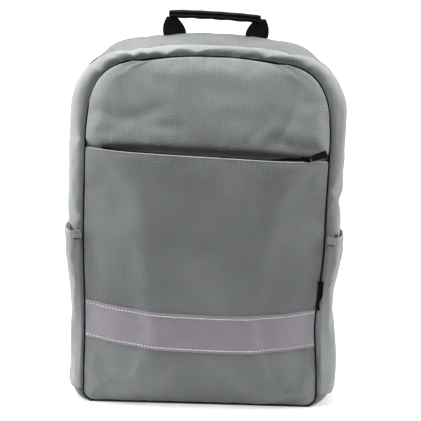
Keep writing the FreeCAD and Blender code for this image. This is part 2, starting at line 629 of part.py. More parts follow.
def build_straps():
    n = 11
    rows = []
    for i in range(n):
        t = i / (n - 1)
        p = strap_line(t)
        ahead = strap_line(min(1.0, t + 0.02)) - strap_line(max(0.0, t - 0.02))
        normal = V(1, 0, 0).cross(ahead).normalize()
        across = ahead.cross(normal).normalize()
        width = STRAP_W * (0.86 + 0.14 * math.sin(math.pi * t)) * (1 - 0.28 * max(0.0, (t - 0.6) / 0.4))
        rows.append(rect_wire(p, across, normal, width, STRAP_T))
    strap = Part.makeLoft(rows, True, True)

    end = strap_line(1.0)
    lock_y = end.y
    lock_top = STRAP_END_Z - 9
    bar_z = lock_top - LOCK_BAR / 2
    lock_mid = lock_top - LOCK_L / 2
    out = LOOP_ROOM + LOOP_T
    left, right, top = end.x - WEB_W / 2, end.x + WEB_W / 2, STRAP_END_Z + 1
    loop = slab(left, right, lock_y - out, lock_y + out, bar_z - out, top)
    loop = loop.cut(slab(-FAR, FAR, lock_y - LOOP_ROOM, lock_y + LOOP_ROOM, bar_z - LOOP_ROOM, top - 2))
    loop = loop.cut(strap)

    lock = slab(end.x - LOCK_W / 2, end.x + LOCK_W / 2, lock_y - LOCK_T / 2, lock_y + LOCK_T / 2,
                lock_top - LOCK_L, lock_top)
    lock = lock.makeFillet(3, [e for e in lock.Edges if abs(e.tangentAt(0).y) > 0.9])
    slot_w = WEB_W / 2 + SLOT_PLAY
    for high, low in ((LOCK_BAR, 10), (LOCK_L / 2 - 1, LOCK_L / 2 + 3), (LOCK_L - 8, LOCK_L - 4)):
        lock = lock.cut(slab(end.x - slot_w, end.x + slot_w, -FAR, FAR, lock_top - low, lock_top - high))

    foot = V(BACK_HALF_WIDTH - 16, BACK_FACE_Y + 2.6, WING_Z + 22)
    head = V(end.x, lock_y - LOCK_T / 2 - 1.6, lock_top - LOCK_L - 2)
    run = head - foot
    across = V(1, 0, 0)
    web = Part.makeLoft([
        rect_wire(foot, across, run.cross(across), WEB_W, WEB_T),
        rect_wire(head, across, run.cross(across), WEB_W, WEB_T),
    ], True, True)

    tail_y = lock_y + LOCK_T / 2 + GAP + WEB_T / 2
    tail = slab(end.x - WEB_W / 2, end.x + WEB_W / 2, tail_y - WEB_T / 2, tail_y + WEB_T / 2,
                lock_mid - TAIL_L, lock_mid + 4)

    wing_y = (BACK_FACE_Y + GAP, BACK_FACE_Y + GAP + 1.8)
    edge = BACK_HALF_WIDTH - 2
    corners = ((edge, WING_Z - 12), (edge, WING_Z + 34), (edge - 28, WING_Z + 30), (edge - 30, WING_Z + 18))
    pts = [V(x, wing_y[0], z) for x, z in corners]
    wing = prism(pts, V(0, wing_y[1] - wing_y[0], 0)).cut(web)
    wing = wing.cut(NODES["lumbar_pad"])
    web = web.cut(wing)

    for name, place in (("right", lambda s: s), ("left", mirrored)):
        keep(f"shoulder_strap_{name}", place(strap))
        keep(f"lock_loop_{name}", place(loop))
        keep(f"ladder_lock_{name}", place(lock))
        keep(f"adjuster_webbing_{name}", place(web))
        keep(f"adjuster_tail_{name}", place(tail))
        keep(f"strap_wing_{name}", place(wing))
    return V(end.x, lock_y, bar_z)


def main():
    os.makedirs("parts", exist_ok=True)
    side_fold = build_shell()
    build_front(side_fold)
    build_side_pockets()
    chain_x = build_main_zip()
    pocket_slider, slope = build_pocket_zip()
    build_handle()
    build_back()
    lock = build_straps()
    for name, shape in NODES.items():
        shape.exportStep(f"parts/{name}.step")
        box = shape.optimalBoundingBox()
        spans = [(box.XMin, box.XMax), (box.YMin, box.YMax), (box.ZMin, box.ZMax)]
        print(name, len(shape.Solids), [(round(a, 1), round(b, 1)) for a, b in spans])
    print("front lid hinge at y, z:", ZIP_Y, FOLD_Z)
    print("main chain x:", round(chain_x, 3), "puller's eye x:", round(chain_x + EYE_OUT, 3))
    print("pocket slider at", pocket_slider, "its eye y:", round(pocket_slider.y - EYE_OUT, 3))
    print("pocket zip slopes", round(slope, 3), "degrees")
    print("straps swing at", strap_hinge(), "ladder locks at", lock)


main()
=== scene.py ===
# %% [markdown]
# # A grey daypack
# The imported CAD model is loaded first. It fixes every size and every moving body, so the pieces made here
# only have to be placed in the same frame, in metres, and told which body they move with.

import math

import bpy
import numpy as np
from mathutils import Matrix, Vector
from mathutils.bvhtree import BVHTree


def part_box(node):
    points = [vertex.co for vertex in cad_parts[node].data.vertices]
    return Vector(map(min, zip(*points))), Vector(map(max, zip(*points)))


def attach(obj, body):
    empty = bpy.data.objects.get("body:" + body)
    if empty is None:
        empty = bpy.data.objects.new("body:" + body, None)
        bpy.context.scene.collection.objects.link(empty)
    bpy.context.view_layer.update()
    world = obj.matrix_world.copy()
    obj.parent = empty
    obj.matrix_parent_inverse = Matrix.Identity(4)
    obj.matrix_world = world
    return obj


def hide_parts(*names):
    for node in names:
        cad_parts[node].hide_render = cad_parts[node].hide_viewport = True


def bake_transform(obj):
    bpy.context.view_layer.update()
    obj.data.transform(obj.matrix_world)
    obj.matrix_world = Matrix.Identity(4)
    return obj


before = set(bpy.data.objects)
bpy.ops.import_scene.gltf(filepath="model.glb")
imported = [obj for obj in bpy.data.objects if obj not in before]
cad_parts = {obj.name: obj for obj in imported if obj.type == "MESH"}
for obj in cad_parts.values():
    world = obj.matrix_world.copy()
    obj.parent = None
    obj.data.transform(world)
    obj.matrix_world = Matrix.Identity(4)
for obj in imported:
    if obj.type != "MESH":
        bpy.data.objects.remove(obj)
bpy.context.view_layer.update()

# %% [markdown]
# ## Camera
# A small product is shot with a long lens from a little above, so that its front keeps its true shape and
# a strip of its top shows. A camera that aims at the middle of the bag with a short shift does the same.
# The bag stands a touch out of plumb, which a small roll of the camera gives.

# %% Camera
AIM = Vector((0.0, 0.0, 0.2))
RISE, REACH, ROLL = math.radians(12.0), 1.5, math.radians(1.6)
lens = bpy.data.cameras.new("camera")
lens.lens, lens.sensor_width = 112.0, 36.0
lens.shift_x, lens.shift_y = 0.0143, 0.023
camera = bpy.data.objects.new("camera", lens)
bpy.context.scene.collection.objects.link(camera)
camera.location = AIM + Vector((0, -math.cos(RISE), math.sin(RISE))) * REACH
facing = (AIM - camera.location).to_track_quat("-Z", "Y").to_matrix()
camera.rotation_euler = (facing @ Matrix.Rotation(ROLL, 3, "Z")).to_euler()
bpy.context.scene.camera = camera

# %% [markdown]
# ## Light and floor
# Soft goods are shown in a white tent: light from all round, most of it from above. The world gives the
# all-round part, dimmer towards the viewer's side. A wide lamp overhead gives the bright tops, one on each
# side lights the gussets, and a faint narrow one in front of the top keeps the yoke from going dark.

# %% Lamps
def lamp(name, place, target, size, power, spread=180):
    light = bpy.data.lights.new(name, "AREA")
    light.shape, light.size, light.size_y, light.energy = "RECTANGLE", size[0], size[1], power
    light.spread = math.radians(spread)
    holder = bpy.data.objects.new(name, light)
    bpy.context.scene.collection.objects.link(holder)
    holder.location = place
    holder.rotation_euler = (Vector(target) - Vector(place)).to_track_quat("-Z", "Y").to_euler()


lamp("overhead", (-0.25, -0.02, 1.35), (0.0, 0.0, 0.2), (1.6, 0.9), 18.0)
lamp("front_top", (-0.05, -0.75, 1.1), (0.0, -0.05, 0.36), (0.4, 0.3), 0.3, spread=50)
lamp("left_side", (-1.3, -0.22, 0.8), (0.0, 0.0, 0.2), (0.7, 1.0), 15.0)
lamp("right_side", (1.3, -0.05, 0.7), (0.0, 0.0, 0.22), (0.7, 0.9), 11.0)


def add(tree, kind, inputs=None, **settings):
    """Adds one node. settings are its own properties; inputs are values, or sockets that feed it."""
    made = tree.nodes.new(kind)
    for name, value in settings.items():
        setattr(made, name, value)
    for name, value in (inputs or {}).items():
        if isinstance(value, bpy.types.NodeSocket):
            tree.links.new(value, made.inputs[name])
        else:
            made.inputs[name].default_value = value
    return made


tent = bpy.data.worlds.new("tent")
tent.use_nodes = True
bpy.context.scene.world = tent
sky = tent.node_tree
where = add(sky, "ShaderNodeTexCoord")
parts = add(sky, "ShaderNodeSeparateXYZ", {"Vector": where.outputs["Generated"]})
depth = add(sky, "ShaderNodeMapRange", {"Value": parts.outputs["Y"], "From Min": -0.6, "From Max": 0.4,
                                        "To Min": 0.10, "To Max": 1.05})
sky.links.new(depth.outputs["Result"], sky.nodes["Background"].inputs["Strength"])
sky.nodes["Background"].inputs["Color"].default_value = (1.0, 1.0, 1.0, 1.0)
bpy.context.scene.view_settings.view_transform = "Standard"

# %% [markdown]
# The floor is matt white paper with a painted glow, so that it stays white far away and the shadow round
# the bag stays faint. In front of the bag it is darker and doesn't glow: a bright floor there lights the
# cloth from below and hides its folds.

# %% Floor
floor_mesh = bpy.data.meshes.new("floor")
floor_mesh.from_pydata([(-40, -40, 0), (40, -40, 0), (40, 40, 0), (-40, 40, 0)], [], [(0, 1, 2, 3)])
floor = bpy.data.objects.new("floor", floor_mesh)
bpy.context.scene.collection.objects.link(floor)
paper = bpy.data.materials.new("white_paper_painted_glow")
paper.use_nodes = True
paper.node_tree.nodes["Principled BSDF"].inputs["Base Color"].default_value = (0.86, 0.86, 0.86, 1)
paper.node_tree.nodes["Principled BSDF"].inputs["Roughness"].default_value = 0.9
paper.node_tree.nodes["Principled BSDF"].inputs["Emission Color"].default_value = (1, 1, 1, 1)
spot = add(paper.node_tree, "ShaderNodeTexCoord")
reach = add(paper.node_tree, "ShaderNodeVectorMath", {0: spot.outputs["Object"]}, operation="LENGTH")
# Painted glow: the floor emits light, weakest near the bag and none in front of it.
glow = add(paper.node_tree, "ShaderNodeMapRange", {"Value": reach.outputs["Value"], "From Min": 0.3,
                                                   "From Max": 3.0, "To Min": 0.3, "To Max": 0.7})
across = add(paper.node_tree, "ShaderNodeSeparateXYZ", {"Vector": spot.outputs["Object"]})
near = add(paper.node_tree, "ShaderNodeMapRange", {"Value": across.outputs["Y"], "From Min": -0.5,
                                                   "From Max": -0.15, "To Min": 0.0, "To Max": 1.0})
shine = add(paper.node_tree, "ShaderNodeMath", {0: glow.outputs["Result"], 1: near.outputs["Result"]},
            operation="MULTIPLY")
tone = add(paper.node_tree, "ShaderNodeMix", {0: near.outputs["Result"], 6: (0.22, 0.22, 0.22, 1),
                                              7: (0.86, 0.86, 0.86, 1)}, data_type="RGBA")
paper.node_tree.links.new(tone.outputs[2], paper.node_tree.nodes["Principled BSDF"].inputs["Base Color"])
paper.node_tree.links.new(shine.outputs["Value"],
                          paper.node_tree.nodes["Principled BSDF"].inputs["Emission Strength"])
floor.data.materials.append(paper)

# %% [markdown]
# ## Materials
# Each finish starts from what the real stuff is. Colours are written as sRGB hex and turned to linear
# light by one function. Cloth patterns are drawn in the "cloth" UV map, whose unit is a metre measured
# along the cloth, so that a thread has one real size on every piece and stays with the cloth as it bends.

# %% Colour and cloth helpers
def linear(hexa):
    """An sRGB hex colour as linear RGBA."""
    parts = [int(hexa[i:i + 2], 16) / 255 for i in (1, 3, 5)]
    return tuple(p / 12.92 if p <= 0.04045 else ((p + 0.055) / 1.055) ** 2.4 for p in parts) + (1.0,)


def start_finish(name, colour, roughness, **sockets):
    """A material with a Principled shader, whose even values are set on its own sockets."""
    made = bpy.data.materials.new(name)
    made.use_nodes = True
    skin = made.node_tree.nodes["Principled BSDF"]
    skin.inputs["Base Color"].default_value = linear(colour)
    skin.inputs["Roughness"].default_value = roughness
    for socket, value in sockets.items():
        skin.inputs[socket.replace("_", " ")].default_value = value
    return made, made.node_tree, skin


def lines_per(pitch):
    """The scale at which a wave texture repeats every pitch metres."""
    return 2 * math.pi / (20 * pitch)


# %% [markdown]
# ### Woven polyester
# The shell is 600-denier polyester in plain weave: dull, with a fine rib and a faint melange from its
# mixed grey yarns. Its threads are about 0.5 mm apart, too fine to show, so they are drawn at 1.9 mm.
# Two sets of waves, one for warp and one for weft, are multiplied, and drive both colour and bump. A paler
# copy of the same weave is painted light on the front gusset, the yoke and the side pockets: the same cloth,
# lightened.

# %% Woven cloth
def woven_cloth(name, light, dark, pitch, roughness, bump, cloudy=0.5, **sockets):
    made, tree, skin = start_finish(name, light, roughness, **sockets)
    cloth = add(tree, "ShaderNodeUVMap", uv_map="cloth").outputs["UV"]
    warp = add(tree, "ShaderNodeTexWave", {"Vector": cloth, "Scale": lines_per(pitch)}, bands_direction="X")
    weft = add(tree, "ShaderNodeTexWave", {"Vector": cloth, "Scale": lines_per(pitch * 0.8)},
               bands_direction="Y")
    weave = add(tree, "ShaderNodeMath", {0: warp.outputs["Fac"], 1: weft.outputs["Fac"]},
                operation="MULTIPLY")
    yarn = add(tree, "ShaderNodeTexNoise", {"Vector": cloth, "Scale": 520.0, "Detail": 3.0})
    cloud = add(tree, "ShaderNodeTexNoise", {"Vector": cloth, "Scale": 11.0, "Detail": 2.0})
    mixed = add(tree, "ShaderNodeMath", {0: weave.outputs[0], 1: yarn.outputs["Fac"]}, operation="MULTIPLY")
    broad = add(tree, "ShaderNodeMapRange", {"Value": cloud.outputs["Fac"], "From Min": 0.3, "From Max": 0.7,
                                             "To Min": 0.0, "To Max": cloudy})
    share = add(tree, "ShaderNodeMath", {0: mixed.outputs[0], 1: broad.outputs["Result"]}, operation="ADD",
                use_clamp=True)
    tint = add(tree, "ShaderNodeMix", {0: share.outputs[0], 6: linear(dark), 7: linear(light)},
               data_type="RGBA")
    tree.links.new(tint.outputs[2], skin.inputs["Base Color"])
    relief = add(tree, "ShaderNodeBump", {"Height": weave.outputs[0], "Strength": bump, "Distance": 0.0006})
    tree.links.new(relief.outputs["Normal"], skin.inputs["Normal"])
    return made


SHELL_PITCH = 0.0019
SHELL = woven_cloth("woven_polyester", "#949798", "#595c5d", SHELL_PITCH, 0.88, 0.7, cloudy=0.3,
                    Sheen_Weight=0.25, Sheen_Roughness=0.5)
# Painted light: a paler copy of the shell, the same cloth, used where more light should seem to fall.
PAINTED_LIGHT_SHELL = woven_cloth("woven_polyester_painted_light", "#b2b5b6", "#737677", SHELL_PITCH, 0.88, 0.7,
                           cloudy=0.3, Sheen_Weight=0.3, Sheen_Roughness=0.5)
# A still paler copy is a painted highlight: the light that catches the top of the pocket's folded edge.
PAINTED_HIGHLIGHT_SHELL = woven_cloth("woven_polyester_painted_highlight", "#b4b7b8", "#85888a", SHELL_PITCH, 0.85, 0.5,
                        Sheen_Weight=0.3)
LINING = woven_cloth("polyester_lining", "#3a3a3d", "#26262a", 0.0012, 0.7, 0.25)
WEBBING = woven_cloth("ribbed_webbing", "#131315", "#040405", 0.0022, 0.8, 0.9, Specular_IOR_Level=0.15)
TAPE = woven_cloth("knitted_zip_tape", "#0e0e10", "#040405", 0.0014, 0.85, 0.6, Specular_IOR_Level=0.15)
BINDING = woven_cloth("seam_binding_tape", "#19191b", "#0a0a0b", 0.0016, 0.9, 0.5, Specular_IOR_Level=0.15)

# %% [markdown]
# ### Coated leather, rubber, nylon, acetal, lacquered zinc
# These are smoother than cloth. A fine voronoi or noise grain at a real size keeps their gloss uneven.

# %% Grained finishes
def grained(name, colour, darker, roughness, grain, bump, space="cloth", spread=0.12, **sockets):
    """A moulded or coated surface: grain is the size of its cells in metres."""
    made, tree, skin = start_finish(name, colour, roughness, **sockets)
    if space == "cloth":
        place = add(tree, "ShaderNodeUVMap", uv_map="cloth").outputs["UV"]
    else:
        place = add(tree, "ShaderNodeTexCoord").outputs["Object"]
    cells = add(tree, "ShaderNodeTexVoronoi", {"Vector": place, "Scale": 1 / grain})
    haze = add(tree, "ShaderNodeTexNoise", {"Vector": place, "Scale": 60.0, "Detail": 4.0})
    tint = add(tree, "ShaderNodeMix", {0: haze.outputs["Fac"], 6: linear(darker), 7: linear(colour)},
               data_type="RGBA")
    tree.links.new(tint.outputs[2], skin.inputs["Base Color"])
    gloss = add(tree, "ShaderNodeMapRange", {"Value": haze.outputs["Fac"], "To Min": roughness - spread,
                                             "To Max": roughness + spread})
    tree.links.new(gloss.outputs["Result"], skin.inputs["Roughness"])
    relief = add(tree, "ShaderNodeBump", {"Height": cells.outputs["Distance"], "Strength": bump,
                                          "Distance": 0.0003})
    tree.links.new(relief.outputs["Normal"], skin.inputs["Normal"])
    return made


BAND = grained("coated_leather_band", "#8b858c", "#7d777e", 0.5, 0.0011, 0.35)
GRIP = grained("coated_grip_wrap", "#060607", "#030303", 0.5, 0.0013, 0.3, Specular_IOR_Level=0.12)
THREAD = grained("white_bonded_thread", "#e9e7e6", "#d3d1d1", 0.6, 0.0008, 0.3)
GREY_THREAD = grained("grey_bonded_thread", "#a9abad", "#94969a", 0.7, 0.0008, 0.3)
COIL = grained("nylon_coil", "#0f0f11", "#070708", 0.45, 0.0009, 0.15, IOR=1.53, Specular_IOR_Level=0.3)
ZINC = grained("lacquered_zinc", "#0d0d0f", "#060607", 0.33, 0.0015, 0.15, space="solid", Metallic=0.6)
RUBBER = grained("moulded_rubber", "#070708", "#030303", 0.6, 0.0009, 0.4, space="solid", IOR=1.52,
                 Specular_IOR_Level=0.2)
ACETAL = grained("moulded_acetal", "#131315", "#0a0a0b", 0.42, 0.0012, 0.25, space="solid", IOR=1.48)
POLYETHYLENE = grained("polyethylene_sheet", "#3b3b3f", "#2c2c30", 0.5, 0.002, 0.2, space="solid", IOR=1.51)
print("materials", len(bpy.data.materials))

# %% [markdown]
# ### Spacer mesh
# The back and the straps are faced with a knitted spacer mesh: a black net with round holes of about
# 2 mm. Its cells come from a voronoi pattern whose edges stand proud, drawn at 3 mm so that they show.

# %% Spacer mesh
MESH_CELL = 0.003
MESH, mesh_tree, mesh_skin = start_finish("spacer_mesh", "#141416", 0.85, Sheen_Weight=0.05)
mesh_uv = add(mesh_tree, "ShaderNodeUVMap", uv_map="cloth").outputs["UV"]
holes = add(mesh_tree, "ShaderNodeTexVoronoi", {"Vector": mesh_uv, "Scale": 1 / MESH_CELL, "Randomness": 0.1})
net = add(mesh_tree, "ShaderNodeMapRange", {"Value": holes.outputs["Distance"], "From Min": 0.2,
                                            "From Max": 0.5})
net_tint = add(mesh_tree, "ShaderNodeMix", {0: net.outputs["Result"], 6: linear("#070708"),
                                            7: linear("#232326")}, data_type="RGBA")
net_relief = add(mesh_tree, "ShaderNodeBump", {"Height": net.outputs["Result"], "Strength": 0.8,
                                               "Distance": 0.0012})
mesh_tree.links.new(net_tint.outputs[2], mesh_skin.inputs["Base Color"])
mesh_tree.links.new(net_relief.outputs["Normal"], mesh_skin.inputs["Normal"])

# %% [markdown]
# ## Mesh helpers
# Sewn goods are sheets, straps and rows of small repeated things. Three helpers make all of them: a grid
# of points, a section swept along a line, and a row of beads for teeth and stitches. Sizes are in
# millimetres while a shape is worked out, and become metres when its mesh is made.

# %% Grids
def mesh_object(name, points, faces, uvs, materials):
    """A mesh object in metres from points in millimetres, with its cloth UV map."""
    data = bpy.data.meshes.new(name)
    data.from_pydata((np.asarray(points, float) * 0.001).tolist(), [], [tuple(f) for f in faces])
    layer = data.uv_layers.new(name="cloth")
    corner = np.empty(len(data.loops), int)
    data.loops.foreach_get("vertex_index", corner)
    layer.data.foreach_set("uv", (np.asarray(uvs, float)[corner] * 0.001).astype(np.float32).ravel())
    data.shade_smooth()
    made = bpy.data.objects.new(name, data)
    bpy.context.scene.collection.objects.link(made)
    for material in materials:
        data.materials.append(material)
    return made


def cloth_uv(rows):
    """Distances along the cloth, in millimetres: across each row from its middle, and up each column."""
    across = np.zeros(rows.shape[:2])
    across[:, 1:] = np.cumsum(np.linalg.norm(np.diff(rows, axis=1), axis=2), axis=1)
    across -= across[:, [rows.shape[1] // 2]]
    up = np.zeros(rows.shape[:2])
    up[1:] = np.cumsum(np.linalg.norm(np.diff(rows, axis=0), axis=2), axis=0)
    return np.stack([across, up], axis=2).reshape(-1, 2)


def sheet_of(name, rows, materials, inside=(0.0, 0.0, 200.0)):
    """A sheet from a table of points: rows[i][j] is a point in millimetres. Its faces turn away from inside."""
    count, width = rows.shape[:2]
    diagonals = np.cross(rows[1:, 1:] - rows[:-1, :-1], rows[1:, :-1] - rows[:-1, 1:])
    flip = np.sum(diagonals * (rows[:-1, :-1] - np.array(inside))) < 0
    faces = []
    for i in range(count - 1):
        for j in range(width - 1):
            a = i * width + j
            quad = (a, a + 1, a + width + 1, a + width)
            faces.append(quad[::-1] if flip else quad)
    return mesh_object(name, rows.reshape(-1, 3), faces, cloth_uv(rows), materials)


def thicken(piece, thickness, levels=1, lined=True):
    """Smooths a sheet, gives it thickness inwards, and makes both part of its mesh."""
    if levels:
        smooth = piece.modifiers.new("smooth", "SUBSURF")
        smooth.levels = smooth.render_levels = levels
        smooth.boundary_smooth = "PRESERVE_CORNERS"
    thick = piece.modifiers.new("thick", "SOLIDIFY")
    thick.thickness, thick.offset = thickness * 0.001, -1.0
    if lined:
        piece.data.materials.append(LINING)
        thick.material_offset = 1
    return bake(piece)


def bake(piece):
    """Makes a piece's modifiers part of its mesh."""
    bpy.context.view_layer.update()
    seen = piece.evaluated_get(bpy.context.evaluated_depsgraph_get())
    data = bpy.data.meshes.new_from_object(seen)
    piece.modifiers.clear()
    piece.data = data
    data.shade_smooth()
    return piece


# %% Swept straps
def unit(v):
    return v / np.maximum(np.linalg.norm(v, axis=-1, keepdims=True), 1e-9)


def strap(name, line, across, width, thick, materials, power=5.0, count=20, closed=False, upright=False):
    """A rounded flat section swept along a line. power 2 is an ellipse; a higher one is a flatter band.
    An upright strap keeps every section level, however its line leans."""
    line = np.asarray(line, float)
    total = len(line)
    if closed:
        ahead = np.roll(line, -1, axis=0) - np.roll(line, 1, axis=0)
    else:
        ahead = np.gradient(line, axis=0)
    ahead = unit(ahead)
    across = np.broadcast_to(np.asarray(across, float), line.shape)
    normal = unit(np.cross(ahead, across))
    if not upright:
        across = unit(np.cross(normal, ahead))
    width = np.broadcast_to(np.asarray(width, float), (total,))
    thick = np.broadcast_to(np.asarray(thick, float), (total,))
    turn = np.arange(count) * 2 * np.pi / count
    a = np.sign(np.cos(turn)) * np.abs(np.cos(turn)) ** (2 / power) / 2
    b = np.sign(np.sin(turn)) * np.abs(np.sin(turn)) ** (2 / power) / 2
    points = (line[:, None] + across[:, None] * (a[None, :, None] * width[:, None, None])
              + normal[:, None] * (b[None, :, None] * thick[:, None, None]))
    run = np.concatenate([[0], np.cumsum(np.linalg.norm(np.diff(line, axis=0), axis=1))])
    uvs = np.stack([a[None, :] * width[:, None] + b[None, :] * thick[:, None],
                    np.repeat(run[:, None], count, axis=1)], axis=2)
    faces = []
    for i in range(total if closed else total - 1):
        k = (i + 1) % total
        for j in range(count):
            l = (j + 1) % count
            faces.append((i * count + j, i * count + l, k * count + l, k * count + j))
    if not closed:
        faces.append(tuple(range(count))[::-1])
        faces.append(tuple((total - 1) * count + j for j in range(count)))
    return mesh_object(name, points.reshape(-1, 3), faces, uvs.reshape(-1, 2), materials)


# %% Rows of teeth and stitches
def beads(name, places, along, out, size, materials, lean=0.0):
    """Many small rounded bricks in one mesh: size is their length along, width across and height."""
    places, along, out = (np.asarray(v, float) for v in (places, along, out))
    along, out = unit(np.broadcast_to(along, places.shape)), unit(np.broadcast_to(out, places.shape))
    side = unit(np.cross(out, along))
    if lean:
        along = unit(along + lean * side)
        side = unit(np.cross(out, along))
    rings, around = (-1.0, -0.8, 0.8, 1.0), 6
    turn = np.arange(around) * 2 * np.pi / around
    pattern, faces = [], []
    for ring in rings:
        grow = 0.55 if abs(ring) == 1.0 else 1.0
        for t in turn:
            pattern.append((ring * size[0] / 2, math.cos(t) * grow * size[1] / 2,
                            math.sin(t) * grow * size[2] / 2))
    for r in range(len(rings) - 1):
        for j in range(around):
            l = (j + 1) % around
            faces.append((r * around + j, r * around + l, (r + 1) * around + l, (r + 1) * around + j))
    faces.append(tuple(range(around))[::-1])
    faces.append(tuple(3 * around + j for j in range(around)))
    pattern = np.array(pattern)
    points = (places[:, None] + along[:, None] * pattern[None, :, [0]] + side[:, None] * pattern[None, :, [1]]
              + out[:, None] * pattern[None, :, [2]]).reshape(-1, 3)
    step = len(pattern)
    all_faces = [tuple(i * step + v for v in f) for i in range(len(places)) for f in faces]
    uvs = np.tile(pattern[:, :2], (len(places), 1)) + np.repeat(np.arange(len(places)), step)[:, None] * 1.7
    return mesh_object(name, points, all_faces, uvs, materials)


# %% [markdown]
# ## Letting cloth settle
# Real panels are never as smooth as a drawn surface: they are cut a little large, filled from behind
# and held at their seams. A short cloth simulation gives just that. The edges are pinned, the cloth grows
# by a few per cent, a light pressure pushes it out, and the movement is capped so that it keeps its size.

# %% Settle
def settle(piece, pinned, growth, pressure, cap, frames=20, stiff=12.0):
    """Simulates a sheet with some of its points pinned. cap is the most a point may move, in mm."""
    before = np.array([v.co for v in piece.data.vertices])
    hold = piece.vertex_groups.new(name="hold")
    for index, weight in enumerate(pinned):
        if weight > 0:
            hold.add([index], float(weight), "REPLACE")
    sim = piece.modifiers.new("settle", "CLOTH")
    sim.settings.quality = 5
    sim.settings.mass = 0.25
    sim.settings.tension_stiffness = sim.settings.compression_stiffness = stiff
    sim.settings.bending_stiffness = 0.6
    sim.settings.shrink_min = sim.settings.shrink_max = -growth
    sim.settings.vertex_group_mass = "hold"
    sim.settings.use_pressure = pressure != 0
    sim.settings.uniform_pressure_force = pressure
    sim.settings.effector_weights.gravity = 0.0
    sim.collision_settings.use_collision = False
    sim.point_cache.frame_start, sim.point_cache.frame_end = 1, frames
    for f in range(1, frames + 1):
        bpy.context.scene.frame_set(f)
    seen = piece.evaluated_get(bpy.context.evaluated_depsgraph_get())
    after = np.array([v.co for v in seen.data.vertices])
    piece.modifiers.clear()
    piece.vertex_groups.clear()
    bpy.context.scene.frame_set(1)
    move = after - before
    far = np.linalg.norm(move, axis=1, keepdims=True)
    limit = cap * 0.001
    move *= np.where(far > 1e-9, limit * np.tanh(far / limit) / np.maximum(far, 1e-9), 0)
    piece.data.vertices.foreach_set("co", (before + move).astype(np.float32).ravel())
    piece.data.update()
    print(piece.name, "settled, moved at most", round(float(far.max()) * 1000, 1), "mm")
    return piece


def edge_pins(count, width, soft=0):
    """Pins for a grid: its border, and with soft a fading band inside it."""
    i, j = np.meshgrid(np.arange(count), np.arange(width), indexing="ij")
    inside = np.minimum(np.minimum(i, count - 1 - i), np.minimum(j, width - 1 - j))
    return np.clip(1 - inside / (soft + 1), 0, 1).ravel() if soft else (inside == 0).astype(float).ravel()


# %% [markdown]
# ## The shell's form
# The bag is a tall rounded box: hoops of one shape, each with its own width and height, from the front
# seam to the back. Cloth rolls over the front edge in a soft curve and dips where the zip runs.

# %% The hoops
ZIP_END, FOLD, BOOT = 197.0, 226.0, 16.0
SEAM_Y, SEAM_HALF, SEAM_LOW, SEAM_HIGH = -58.0, 133.0, 1.6, 392.0
SEAM_TOP_R, SEAM_FOOT_R = 57.0, 12.0
# y, half width, lowest, highest, upper corner radius, lower corner radius
FRONT_ROLL = [(-57.5, 132.5, 2.0, 391.0, 57, 12), (-58.8, 134.4, 1.4, 393.6, 58, 14),
              (-61.2, 137.6, 1.0, 396.8, 60, 16), (-60.4, 141.4, 0.8, 399.4, 61, 18),
              (-55.0, 145.4, 0.6, 400.6, 61.5, 19), (-46.0, 148.4, 0.4, 400.9, 62, 20),
              (-37.0, 150.4, 0.4, 400.4, 62.5, 21), (-28.0, 151.2, 0.4, 399.5, 61, 22),
              (-21.0, 150.6, 0.4, 397.6, 57, 22), (-18.4, 146.6, 0.6, 394.0, 48, 22)]
REAR_ROLL = [(-9.6, 146.6, 0.6, 394.0, 48, 22), (-7.0, 149.4, 0.4, 396.8, 57, 22),
             (6.0, 150.4, 0.4, 400.4, 72, 22), (22.0, 150.6, 0.4, 403.6, 78, 23),
             (40.0, 149.0, 0.4, 406.6, 75, 24), (54.0, 145.4, 0.4, 408.2, 70, 26),
             (60.4, 140.6, 0.6, 407.0, 69, 27)]


def smooth_table(table, steps):
    """Catmull-Rom through the rows of a table, with steps rows for each of its gaps."""
    table = np.array(table, float)
    first, last = 2 * table[0] - table[1], 2 * table[-1] - table[-2]
    keys = np.vstack([first, table, last])
    out = []
    for i in range(1, len(keys) - 2):
        for t in np.arange(steps) / steps:
            a, b, c, d = keys[i - 1:i + 3]
            out.append(0.5 * (2 * b + (c - a) * t + (2 * a - 5 * b + 4 * c - d) * t ** 2
                              + (3 * b - a - 3 * c + d) * t ** 3))
    out.append(table[-1])
    return np.array(out)


def taper(x, z):
    """A filled bag draws in above its foot and under its shoulders, and leans a touch to one side."""
    pinch = (0.028 + 0.016 * np.tanh(x / 60)) * np.exp(-((z - 100) / 48) ** 2)
    outer = np.clip((np.abs(x) - 136) / 12, 0, 1)
    pinch = pinch + 0.022 * (1 - 0.8 * outer) * np.exp(-((z - 345) / 26) ** 2)
    return (x * (1 + 0.014 * np.minimum(0, (z - 190) / 190) - pinch)
            + 1.6 * np.clip((z - 226) / 120, 0, 1) + 3.0 * outer * np.exp(-((z - 62) / 58) ** 2))


def side_x(z, half, low, corner):
    """How far out the side is at a height: the lower corner is round."""
    below = np.clip(low + corner - z, 0, corner)
    return half - corner + np.sqrt(np.maximum(corner ** 2 - below ** 2, 0))


def hoop(row, start=BOOT, counts=(7, 44, 15, 27)):
    """Points of one hoop, from the left boot seam over the top to the right one."""
    y, half, low, high, top, corner = row
    shoulder = high - 6.0
    z = np.concatenate([np.linspace(start, 60, counts[0])[:-1],
                        np.linspace(60, shoulder - top, counts[1])])
    x = -side_x(z, half, low, corner)
    angle = np.linspace(np.pi, np.pi / 2, counts[2])[1:]
    arc_x, arc_z = -half + top + top * np.cos(angle), shoulder - top + top * np.sin(angle)
    mid_x = np.linspace(-half + top, half - top, counts[3])[1:-1]
    mid_z = shoulder + 6.0 * (1 - (mid_x / (half - top)) ** 2)
    left_x, left_z = np.concatenate([x, arc_x]), np.concatenate([z, arc_z])
    all_x = np.concatenate([left_x, mid_x, -left_x[::-1]])
    all_z = np.concatenate([left_z, mid_z, left_z[::-1]])
    return np.stack([taper(all_x, all_z), np.full_like(all_x, y), all_z], axis=1)
